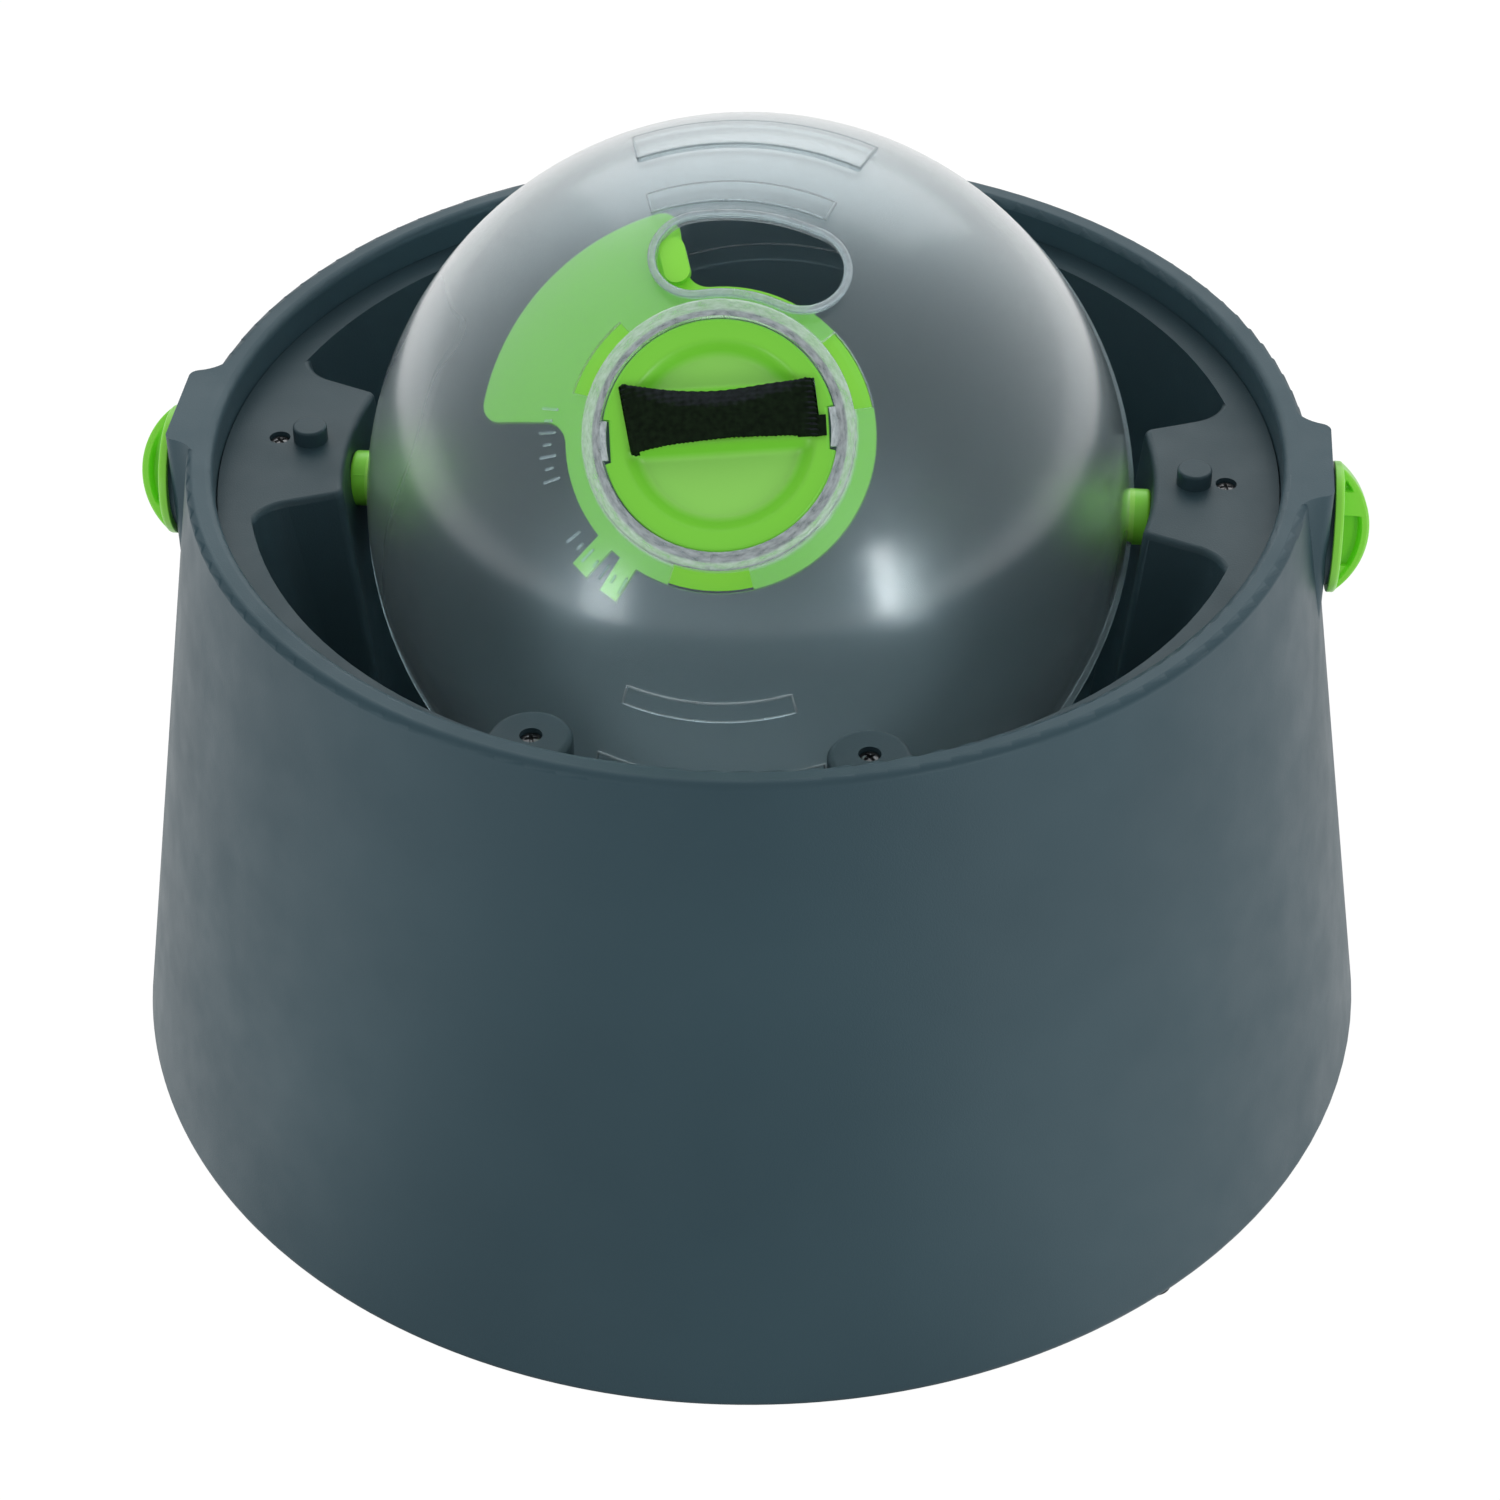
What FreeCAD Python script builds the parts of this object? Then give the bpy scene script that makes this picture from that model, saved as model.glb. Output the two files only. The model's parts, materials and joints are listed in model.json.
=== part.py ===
import FreeCAD, Part
import math
import os

import Sketcher
from FreeCAD import Placement, Rotation, Vector

# Rotating slow feeder: a clear treat ball turns on two green pins inside a bowl, which hangs in a
# conical casing. The ball is filled through a capped neck and feeds through a kidney-shaped slot,
# which a green shutter closes. Millimetres, Z up, X along the axle, the front towards -Y, and the
# origin on the ground under the middle of the bowl.

doc = FreeCAD.newDocument("rotating_slow_feeder")

SIZES = {
    # heights
    "rim_height": "157.3",
    "ledge_drop": "7.7",
    "axle_drop": "10",
    "floor_height": "35",
    "foot_gap": "1.6",
    # ball, and the room that the bowl leaves round it
    "ball_radius": "85.5",
    "ball_wall": "2",
    "ball_to_pedestal": "4.8",
    "ball_to_wall": "25.5",
    "bead_rise": "0.9",
    "bead_width": "2.4",
    # casing: a cone with a rolled rim, an inner shelf for the bowl and an inward base flange
    "rim_width": "5.8",
    "rim_rounding": "1.8",
    "base_spread": "24.4",
    "base_rounding": "2.6",
    "base_flange_width": "12",
    "base_flange_thick": "3",
    "casing_wall": "3",
    "shelf_width": "4.2",
    "shelf_thick": "2.5",
    # ears: the flat pads that the pins are pushed through
    "ear_step": "4.9",
    "ear_height": "61.3",
    "ear_half_width": "14.3",
    "ear_corner": "2.5",
    "ear_blend": "9",
    "seat_radius": "12.9",
    "seat_step": "0.9",
    # feet
    "foot_radius": "4.2",
    "foot_recess": "1",
    "foot_inset": "6.4",
    "first_foot_angle": "45",
    # axle
    "pin_radius": "3.5",
    "pin_entry": "8.5",
    "pin_chamfer": "1",
    "running_gap": "0.05",
    "free_gap": "0.3",
    "boss_length": "20.2",
    "boss_half_width": "8",
    "boss_depth": "16",
    # pins' knobs
    "knob_radius": "14.6",
    "knob_flange": "2",
    "knob_rounding": "0.5",
    "wing_rise": "6.6",
    "wing_thick": "6.4",
    "wing_border": "1.7",
    "wing_floor": "0.85",
    "wing_web": "1.6",
    "wing_bar": "5",
    "wing_bar_offset": "3.4",
    "right_wing_turn": "60",
    "left_wing_turn": "4",
    # bowl
    "bowl_lean": "15.8",
    "bowl_corner": "30",
    "bowl_wall": "2.5",
    "flange_width": "6.9",
    "flange_thick": "2.5",
    "edge_rounding": "1.4",
    # pedestals and lobes inside the bowl
    "pedestal_half_width": "20.5",
    "pedestal_side_slope": "0.4",
    "pedestal_blend": "10",
    "pedestal_sink": "1",
    "pedestal_draft": "0.079",
    "pedestal_corner": "2.2",
    "stud_inset": "11.9",
    "stud_radius": "3.85",
    "stud_height": "3.7",
    "stud_rounding": "0.6",
    "lobe_inset": "3.4",
    "lobe_angle": "71.4",
    "lobe_radius": "8.6",
    # screws that hold the bowl down
    "screw_inset": "4.8",
    "screw_head_radius": "2.2",
    "screw_head_height": "1.2",
    "screw_edge_height": "0.6",
    "screw_sink": "0.7",
    "screw_shank_radius": "1.25",
    "platform_screw_depth": "2.6",
    "lobe_screw_depth": "8",
    "screw_boss_radius": "4.3",
    "screw_boss_depth": "12",
    # neck; its heights are drops below the ball's own radius
    "neck_tilt": "46.5",
    "neck_radius": "27.9",
    "neck_bore": "24.2",
    "neck_drop": "2.1",
    "neck_rounding": "1",
    "tube_radius": "26",
    "tube_bore": "22.5",
    "tube_drop": "16.5",
    "seat_drop": "6.6",
    "lug_reach": "1.3",
    "lug_half_width": "4",
    "lug_height": "1",
    "lug_drop": "0.25",
    "window_outer": "31.6",
    "window_angle": "-90",
    "window_half_angle": "16",
    "hook_outer": "29.4",
    "hook_half_angle": "11",
    "hook_drop": "12.5",
    "hook_root": "0.5",
    "hook_lip": "1",
    # raised pads and strips on the ball, as angles from the neck's axis
    "pad_rise": "0.65",
    "pad_spread": "41",
    "wide_pad_start": "52.3",
    "wide_pad_end": "61.9",
    "upper_strip_start": "37",
    "upper_strip_end": "41.2",
    "lower_strip_start": "38.6",
    "lower_strip_end": "41.6",
    "strip_spread": "37",
    "back_strip_start": "51.6",
    "back_strip_end": "55",
    # kidney slot
    "kidney_circle": "38.75",
    "kidney_half_width": "8.45",
    "kidney_start": "68",
    "kidney_end": "101",
    "kidney_lip_width": "1.8",
    "kidney_lip_rise": "1.2",
    # hubs that carry the ball on the pins
    "hub_disc_radius": "13",
    "hub_disc_thick": "3",
    "hub_collar_radius": "6.25",
    "hub_collar_step": "3",
    "hub_core_radius": "6.8",
    "hub_core_drop": "11",
    "hub_floor": "1.5",
    "hub_rounding": "1",
    # shutter
    "shutter_gap": "0.3",
    "shutter_thick": "1.6",
    "shutter_ring_radius": "31.5",
    "shutter_run_gap": "0.08",
    "fan_radius": "50.7",
    "fan_start": "105",
    "fan_end": "177",
    "fan_corner": "4",
    "fan_blend": "5",
    "tab_reach": "39",
    "tab_width": "4",
    "tab_first": "-134.5",
    "tab_second": "-123",
    "button_past_end": "7",
    "button_long": "5.4",
    "button_short": "2.7",
    "button_rise": "2.2",
    # cap
    "cap_turn": "6.5",
    "cap_gap": "0.3",
    "cap_flange_thick": "2.3",
    "cap_edge_rounding": "0.6",
    "seal_thick": "0.8",
    "plug_drop": "11",
    "cap_plug_wall": "1.6",
    "cap_floor_thick": "1.8",
    "dish_depth": "3.4",
    "dish_radius": "19",
    "dish_slope_width": "3.2",
    "bar_half_width": "6.2",
    "bar_slope_width": "2.2",
    "notch_half_width": "4.6",
    "notch_depth": "2",
    "slot_inner": "18.3",
    "slot_width": "2.2",
    # webbing loop round the cap's bar
    "strap_half_width": "6",
    "strap_thick": "1.5",
    "strap_arch": "1.8",
    "strap_gap": "0.2",
}

# Sizes that follow from those above, each by a named step, drop or clearance.
FOLLOWING = {
    "bowl_radius": "ball_radius + ball_to_wall",
    "bowl_foot_radius": "bowl_radius - bowl_lean",
    "pedestal_radius": "ball_radius + ball_to_pedestal",
    "flange_radius": "bowl_radius + flange_width",
    "rim_inner": "flange_radius + free_gap",
    "rim_radius": "rim_inner + rim_width",
    "base_radius": "rim_radius + base_spread",
    "shelf_inner": "rim_inner - shelf_width",
    "ear_reach": "rim_radius + ear_step",
    "seat_reach": "ear_reach + seat_step",
    "boss_reach": "rim_inner - boss_length",
    "foot_circle": "base_radius - foot_inset",
    "stud_circle": "bowl_radius - stud_inset",
    "lobe_circle": "bowl_radius - lobe_inset",
    "screw_circle": "bowl_radius - screw_inset",
    "ledge_height": "rim_height - ledge_drop",
    "shelf_top": "ledge_height - flange_thick",
    "axle_height": "ledge_height - axle_drop",
    "ball_inner": "ball_radius - ball_wall",
    "neck_top": "ball_radius - neck_drop",
    "tube_end": "ball_radius - tube_drop",
    "seal_seat": "ball_radius - seat_drop",
    "hook_end": "ball_radius - hook_drop",
    "cap_plug_end": "ball_radius - plug_drop",
    "pin_tip_reach": "ball_radius - pin_entry",
    "hub_collar_reach": "ball_radius + hub_collar_step",
    "hub_core_reach": "ball_radius - hub_core_drop",
    "hub_bore_end": "hub_core_reach + hub_floor",
    "button_angle": "kidney_end + button_past_end",
}

sheet = doc.addObject("Spreadsheet::Sheet", "sizes")
formulas = {alias: "=" + formula for alias, formula in FOLLOWING.items()}
for row, (alias, content) in enumerate({**SIZES, **formulas}.items(), start=1):
    sheet.set("A%d" % row, alias)
    sheet.set("B%d" % row, content)
    sheet.setAlias("B%d" % row, alias)
doc.recompute()


class Size:
    """A size worked out from the sheet: its number, and the expression that keeps it tied."""

    def __init__(self, number, text):
        self.number = number
        self.text = text

    def __add__(self, other):
        other = size(other)
        return Size(self.number + other.number, "(%s + %s)" % (self.text, other.text))

    def __sub__(self, other):
        other = size(other)
        return Size(self.number - other.number, "(%s - %s)" % (self.text, other.text))

    def __mul__(self, other):
        other = size(other)
        return Size(self.number * other.number, "(%s * %s)" % (self.text, other.text))

    def __truediv__(self, other):
        other = size(other)
        return Size(self.number / other.number, "(%s / %s)" % (self.text, other.text))

    def __rsub__(self, other):
        return size(other) - self

    def __rtruediv__(self, other):
        return size(other) / self

    def __neg__(self):
        return size(0) - self

    __radd__ = __add__
    __rmul__ = __mul__


def size(value):
    """The Size of an alias of the sheet, of a plain number, or the Size itself."""
    if isinstance(value, Size):
        return value
    if isinstance(value, str):
        return Size(float(sheet.get(value)), "sizes." + value)
    return Size(float(value), "%.10g" % value)


def root(value):
    return Size(math.sqrt(value.number), "sqrt(%s)" % value.text)


def sin_of(value):
    value = size(value)
    return Size(math.sin(math.radians(value.number)), "sin(%s)" % value.text)


def cos_of(value):
    value = size(value)
    return Size(math.cos(math.radians(value.number)), "cos(%s)" % value.text)


def leg(hypotenuse, other):
    """The second leg of a right-angled triangle."""
    return root(hypotenuse * hypotenuse - other * other)


def polar(radius, angle):
    return (radius * cos_of(angle), radius * sin_of(angle))


def bind(thing, prop, value):
    thing.setExpression(prop, size(value).text)


PLANES = {
    "XY": Rotation(),
    "XZ": Rotation(Vector(1, 0, 0), 90),
    "YZ": Rotation(Vector(1, 1, 1), 120),
}


def new_sketch(name, plane, body=None, offset=None):
    """An empty sketch on an origin plane of its body, or standing free, moved along its normal."""
    if body is None:
        sketch = doc.addObject("Sketcher::SketchObject", name)
        sketch.Placement = Placement(Vector(), PLANES[plane])
        axis = {"XY": "z", "XZ": "y", "YZ": "x"}[plane]
        if offset is not None:
            bind(sketch, "Placement.Base." + axis, -offset if plane == "XZ" else offset)
        return sketch
    sketch = body.newObject("Sketcher::SketchObject", name)
    role = plane + "_Plane"
    support = [item for item in body.Origin.OriginFeatures if item.Role == role][0]
    sketch.AttachmentSupport = [(support, "")]
    sketch.MapMode = "FlatFace"
    if offset is not None:
        bind(sketch, "AttachmentOffset.Base.z", offset)
    return sketch


def fix(sketch, kind, references, value):
    """One constraint of a sketch, tied to its size."""
    value = size(value)
    index = sketch.addConstraint(Sketcher.Constraint(kind, *references, value.number))
    sketch.setExpression("Constraints[%d]" % index, value.text)


def pin_point(sketch, edge, end, point):
    fix(sketch, "DistanceX", (-1, 1, edge, end), point[0])
    fix(sketch, "DistanceY", (-1, 1, edge, end), point[1])


def draw_outline(sketch, corners):
    """A closed outline. Each corner is (x, y) or (x, y, radius), where the radius makes the edge
    that leaves the corner an arc of under a half circle, turning left, or right if negative."""
    points = [(size(corner[0]), size(corner[1])) for corner in corners]
    ends = []
    for index, corner in enumerate(corners):
        here = points[index]
        there = points[(index + 1) % len(points)]
        first = Vector(here[0].number, here[1].number, 0)
        second = Vector(there[0].number, there[1].number, 0)
        if len(corner) == 2:
            edge = sketch.addGeometry(Part.LineSegment(first, second), False)
            ends.append((edge, 1, 2))
            continue
        radius = size(corner[2])
        bend = abs(radius.number)
        left = radius.number > 0
        chord = second - first
        across = Vector(-chord.y, chord.x, 0).normalize() * (1 if left else -1)
        depth = math.sqrt(max(bend ** 2 - (chord.Length / 2) ** 2, 0.0))
        centre = (first + second) * 0.5 + across * depth
        begin, finish = (first, second) if left else (second, first)
        start_angle = math.atan2(begin.y - centre.y, begin.x - centre.x)
        end_angle = math.atan2(finish.y - centre.y, finish.x - centre.x)
        if end_angle < start_angle:
            end_angle += 2 * math.pi
        arc = Part.ArcOfCircle(Part.Circle(centre, Vector(0, 0, 1), bend), start_angle, end_angle)
        edge = sketch.addGeometry(arc, False)
        ends.append((edge, 1, 2) if left else (edge, 2, 1))
        fix(sketch, "Radius", (edge,), radius if left else -radius)
    for index, (edge, near, far) in enumerate(ends):
        pin_point(sketch, edge, near, points[index])
        next_edge, next_near, next_far = ends[(index + 1) % len(ends)]
        sketch.addConstraint(Sketcher.Constraint("Coincident", edge, far, next_edge, next_near))
    return sketch


def draw_circle(sketch, x, y, radius):
    x, y, radius = size(x), size(y), size(radius)
    circle = Part.Circle(Vector(x.number, y.number, 0), Vector(0, 0, 1), radius.number)
    edge = sketch.addGeometry(circle, False)
    pin_point(sketch, edge, 3, (x, y))
    fix(sketch, "Radius", (edge,), radius)
    return sketch


def mirrored_half(corners):
    """Corners of a half outline above the x axis, followed by its mirror image below it. The
    corners run anticlockwise from the x axis side, so the mirror runs first."""
    lower = []
    for index in range(len(corners) - 1, -1, -1):
        x, y = corners[index][0], size(corners[index][1])
        previous = corners[index - 1] if index > 0 else None
        if previous is not None and len(previous) == 3:
            lower.append((x, -y, previous[2]))
        else:
            lower.append((x, -y))
    return lower + list(corners)


def new_body(name):
    body = doc.addObject("PartDesign::Body", name)
    body.Label = name
    return body


def axis_of(body, role):
    return [item for item in body.Origin.OriginFeatures if item.Role == role][0]


def revolve(body, name, sketch, groove=False, angle=None, axis="V_Axis"):
    kind = "PartDesign::Groove" if groove else "PartDesign::Revolution"
    feature = body.newObject(kind, name)
    feature.Profile = sketch
    feature.ReferenceAxis = (sketch, [axis])
    feature.Angle = 360
    if angle is not None:
        feature.Midplane = True
        bind(feature, "Angle", angle)
    return feature


def pad(body, name, sketch, length, down=False, both=False):
    feature = body.newObject("PartDesign::Pad", name)
    feature.Profile = sketch
    bind(feature, "Length", length)
    feature.Reversed = down
    feature.Midplane = both
    return feature


def pocket(body, name, sketch, depth, up=False, both=False):
    feature = body.newObject("PartDesign::Pocket", name)
    feature.Profile = sketch
    bind(feature, "Length", depth)
    feature.Reversed = up
    feature.Midplane = both
    return feature


def polar_copies(body, name, originals, count):
    feature = body.newObject("PartDesign::PolarPattern", name)
    feature.Originals = originals
    feature.Axis = (axis_of(body, "Z_Axis"), [""])
    feature.Angle = 360
    feature.Occurrences = count
    body.Tip = feature
    return feature


def fillet(body, name, radius, wanted):
    """Rounds the edges of the body's last feature for which wanted(edge) is true."""
    doc.recompute()
    last = body.Tip
    names = []
    for index, edge in enumerate(last.Shape.Edges, start=1):
        if wanted(edge):
            names.append("Edge%d" % index)
    if not names:
        raise ValueError("no edge to round for " + name)
    feature = body.newObject("PartDesign::Fillet", name)
    feature.Base = (last, names)
    bind(feature, "Radius", radius)
    body.Tip = feature
    return feature


def extrude(name, sketch, length, both=False, down=False):
    """A straight block of a free sketch along the sketch's normal."""
    feature = doc.addObject("Part::Extrusion", name)
    feature.Base = sketch
    feature.DirMode = "Normal"
    feature.Solid = True
    feature.Symmetric = both
    feature.Reversed = down
    bind(feature, "LengthFwd", length)
    return feature


def loft(name, first, second):
    feature = doc.addObject("Part::Loft", name)
    feature.Sections = [first, second]
    feature.Solid = True
    feature.Ruled = True
    return feature


def fuse(name, shapes):
    feature = doc.addObject("Part::MultiFuse", name)
    feature.Shapes = shapes
    return feature


def common(name, first, second):
    feature = doc.addObject("Part::MultiCommon", name)
    feature.Shapes = [first, second]
    return feature


def cut(name, base, tool):
    feature = doc.addObject("Part::Cut", name)
    feature.Base = base
    feature.Tool = tool
    return feature


def ball(name, radius):
    feature = doc.addObject("Part::Sphere", name)
    bind(feature, "Radius", radius)
    return feature


def half_turn_copy(name, source):
    """The same shape turned half a turn about the Z axis."""
    feature = doc.addObject("Part::Feature", name)
    shape = source.Shape.copy()
    shape.rotate(Vector(), Vector(0, 0, 1), 180)
    feature.Shape = shape
    return feature


def is_at_height(height):
    """A test for edges that lie wholly at one height."""
    level = height.number

    def test(edge):
        box = edge.BoundBox
        return abs(box.ZMin - level) < 0.01 and abs(box.ZMax - level) < 0.01
    return test


# Heights, radii and slopes that several pieces share.
RIM_INNER = size("rim_inner")
LEDGE = size("ledge_height")
SHELF_TOP = size("shelf_top")
SHELF_INNER = size("shelf_inner")
CONE_SLOPE = ((size("base_radius") - size("rim_radius"))
              / (size("rim_height") - size("foot_gap")))
WALL_STEP = size("casing_wall") * root(1 + CONE_SLOPE * CONE_SLOPE)
BALL_INNER = size("ball_inner")
AXLE = size("axle_height")


def cone_radius(height):
    """Outer radius of the casing's cone at a height."""
    return size("rim_radius") + CONE_SLOPE * (size("rim_height") - height)


def far_circle_meet(radius, centre, distance):
    """The point at one radius from the origin and one distance from a centre, on the side of the
    larger y. Used for a blend that touches both a circle and a corner."""
    x, y = centre
    square = x * x + y * y
    along = (radius * radius - distance * distance + square) / (2 * square)
    across = root(radius * radius / square - along * along)
    return (along * x - across * y, along * y + across * x)


def ear_outline(reach):
    """Plan of an ear: a flat pad with rounded corners that flow back into the rim's circle."""
    corner, blend = size("ear_corner"), size("ear_blend")
    rim, half = size("rim_radius") - size("rim_rounding"), size("ear_half_width")
    corner_centre = (reach - corner, half - corner)
    blend_centre = far_circle_meet(rim + blend, corner_centre, corner + blend)
    landing = tuple(value * rim / (rim + blend) for value in blend_centre)
    meeting = tuple(near + (far - near) * corner / (corner + blend)
                    for near, far in zip(corner_centre, blend_centre))
    upper = [
        (reach, half - corner, corner),
        (meeting[0], meeting[1], -blend),
        landing,
        (RIM_INNER + size("rim_rounding"), landing[1]),
    ]
    return mirrored_half(upper)


def make_outer_casing():
    body = new_body("outer_casing")
    base = size("foot_gap")
    top = size("rim_height")
    cone = new_sketch("casing_cone", "XZ", body)
    soft = size("rim_rounding")
    draw_outline(cone, [
        (0, base),
        (size("base_radius"), base),
        (cone_radius(top - soft), top - soft, soft),
        (size("rim_radius") - soft, top),
        (0, top),
    ])
    revolve(body, "casing_block", cone)

    ear_top = new_sketch("ear_outline", "XY", body, top)
    draw_outline(ear_top, ear_outline(size("ear_reach")))
    ear = pad(body, "ear", ear_top, size("ear_height"), down=True)
    seat = new_sketch("knob_seat_outline", "YZ", body, SHELF_INNER)
    draw_circle(seat, 0, AXLE, size("seat_radius"))
    knob_seat = pad(body, "knob_seat", seat, size("seat_reach") - SHELF_INNER)
    polar_copies(body, "ear_pair", [ear, knob_seat], 2)

    inside = new_sketch("casing_inside", "XZ", body)
    flange_top = base + size("base_flange_thick")
    shelf_under = SHELF_TOP - size("shelf_thick")
    flange_inner = size("base_radius") - size("base_flange_width")
    below = base - size("casing_wall")
    above = top + size("casing_wall")
    draw_outline(inside, [
        (0, below),
        (flange_inner, below),
        (flange_inner, flange_top),
        (cone_radius(flange_top) - WALL_STEP, flange_top),
        (cone_radius(shelf_under) - WALL_STEP, shelf_under),
        (SHELF_INNER, shelf_under),
        (SHELF_INNER, SHELF_TOP),
        (RIM_INNER, SHELF_TOP),
        (RIM_INNER, top - soft, -soft),
        (RIM_INNER + soft, top),
        (RIM_INNER + soft, above),
        (0, above),
    ])
    revolve(body, "casing_hollow", inside, groove=True)

    def is_base_edge(edge):
        return is_at_height(base)(edge) and edge.BoundBox.XMax > flange_inner.number + 1
    fillet(body, "base_rounding", size("base_rounding"), is_base_edge)

    bosses = new_sketch("axle_boss_outlines", "XY", body, SHELF_TOP)
    wide = size("boss_half_width")
    for side in (1, -1):
        near = side * size("boss_reach")
        far = side * (size("seat_reach") - size("casing_wall"))
        draw_outline(bosses, [(near, -side * wide), (far, -side * wide),
                              (far, side * wide), (near, side * wide)])
    pad(body, "axle_bosses", bosses, size("boss_depth"), down=True)

    tongues = new_sketch("screw_boss_outlines", "XY", body, SHELF_TOP)
    for angle in lobe_angles():
        draw_tongue(tongues, angle, size("screw_boss_radius"), RIM_INNER)
    pad(body, "screw_bosses", tongues, size("screw_boss_depth"), down=True)

    bore = new_sketch("axle_bore_outline", "YZ", body)
    draw_circle(bore, 0, AXLE, size("pin_radius") + size("running_gap"))
    pocket(body, "axle_bore", bore, 4 * size("base_radius"), both=True)

    shank = size("screw_shank_radius")
    pilots = new_sketch("lobe_pilot_outlines", "XY", body, SHELF_TOP)
    for x, y in lobe_centres():
        draw_circle(pilots, x, y, shank + size("running_gap"))
    pocket(body, "lobe_pilots", pilots, size("lobe_screw_depth") + size("free_gap"))
    short_pilots = new_sketch("platform_pilot_outlines", "XY", body, SHELF_TOP)
    for side in (1, -1):
        draw_circle(short_pilots, side * size("screw_circle"), 0, shank + size("running_gap"))
    pocket(body, "platform_pilots", short_pilots, size("platform_screw_depth") + size("free_gap"))

    recesses = new_sketch("foot_recess_outlines", "XY", body, base)
    for x, y in foot_centres():
        draw_circle(recesses, x, y, size("foot_radius") + size("running_gap"))
    pocket(body, "foot_recesses", recesses, size("foot_recess"), up=True)
    return body


def lobe_angles():
    """The four screw lobes lie in pairs at the front and the back."""
    return [size("lobe_angle"), 180 - size("lobe_angle"),
            180 + size("lobe_angle"), 360 - size("lobe_angle")]


def lobe_centres():
    return [polar(size("lobe_circle"), angle) for angle in lobe_angles()]


def foot_centres():
    first = size("first_foot_angle")
    return [polar(size("foot_circle"), first + turn) for turn in (0, 90, 180, 270)]


def draw_tongue(sketch, angle, radius, outer):
    """A round-ended tongue that points inward from a circle to a screw lobe."""
    centre = size("lobe_circle")
    along = (cos_of(angle), sin_of(angle))

    def place(radial, sideways):
        return (radial * along[0] - sideways * along[1], radial * along[1] + sideways * along[0])

    corners = [
        place(outer, -radius),
        place(outer, radius),
        place(centre, radius) + (radius,),
        place(centre - radius, size(0)) + (radius,),
        place(centre, -radius),
    ]
    draw_outline(sketch, corners)


def bowl_slope():
    return ((size("bowl_radius") - size("bowl_foot_radius")) / (LEDGE - size("floor_height")))


def bowl_wall_radius(height):
    """Inner radius of the bowl's sloping wall at a height."""
    return size("bowl_foot_radius") + bowl_slope() * (height - size("floor_height"))


def bowl_outline(offset, top_corners):
    """Half section of the bowl's surface, moved outward by offset: floor, curve and wall."""
    slope = bowl_slope()
    lean = root(1 + slope * slope)
    corner = size("bowl_corner")
    floor = size("floor_height")
    centre_z = floor + corner
    centre_r = bowl_wall_radius(centre_z) - corner * lean
    bend = corner + offset
    return [
        (0, floor - offset),
        (centre_r, floor - offset, bend),
        (centre_r + bend / lean, centre_z - bend * slope / lean),
    ] + top_corners


def pedestal_outline(height, offset):
    """Plan of a pedestal at a height, moved inward by offset. Its inner face follows a circle
    round the ball, its sides flare and blend into the bowl's wall, and it widens downward."""
    draft = size("pedestal_draft") * (LEDGE - height)
    slope = size("pedestal_side_slope")
    lean = root(1 + slope * slope)
    inner = size("pedestal_radius") - draft + offset
    half = size("pedestal_half_width") + draft - offset * (lean - slope)
    wall = bowl_wall_radius(height) + size("pedestal_sink") + offset
    blend = size("pedestal_blend") + offset
    corner = (leg(inner, half), half)
    along = (1 / lean, slope / lean)
    start = (corner[0] - blend * along[1], corner[1] + blend * along[0])
    linear = start[0] * along[0] + start[1] * along[1]
    square = start[0] * start[0] + start[1] * start[1]
    reach = wall - blend
    travel = root(linear * linear - square + reach * reach) - linear
    line_end = (corner[0] + travel * along[0], corner[1] + travel * along[1])
    centre = (start[0] + travel * along[0], start[1] + travel * along[1])
    landing = tuple(value * wall / reach for value in centre)
    outside = tuple(value * size("base_radius") / reach for value in centre)
    upper = [
        outside,
        landing + (-blend,),
        line_end,
        corner + (-inner,),
    ]
    return mirrored_half(upper)


def pedestal_block(name, top, bottom, offset):
    sections = []
    for label, height in (("_top", top), ("_bottom", bottom)):
        section = new_sketch(name + label, "XY", offset=height)
        draw_outline(section, pedestal_outline(height, offset))
        sections.append(section)
    block = loft(name, *sections)
    doc.recompute()
    return [block, half_turn_copy(name + "_mate", block)]


def lobe_blocks(name, top, bottom, radius):
    sketch = new_sketch(name + "_outlines", "XY", offset=bottom)
    for angle in lobe_angles():
        draw_tongue(sketch, angle, radius, size("base_radius"))
    return extrude(name, sketch, top - bottom)


def round_holes(name, centres, radius, top, depth):
    sketch = new_sketch(name + "_outlines", "XY", offset=top - depth)
    for x, y in centres:
        draw_circle(sketch, x, y, radius)
    return extrude(name, sketch, depth)


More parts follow.
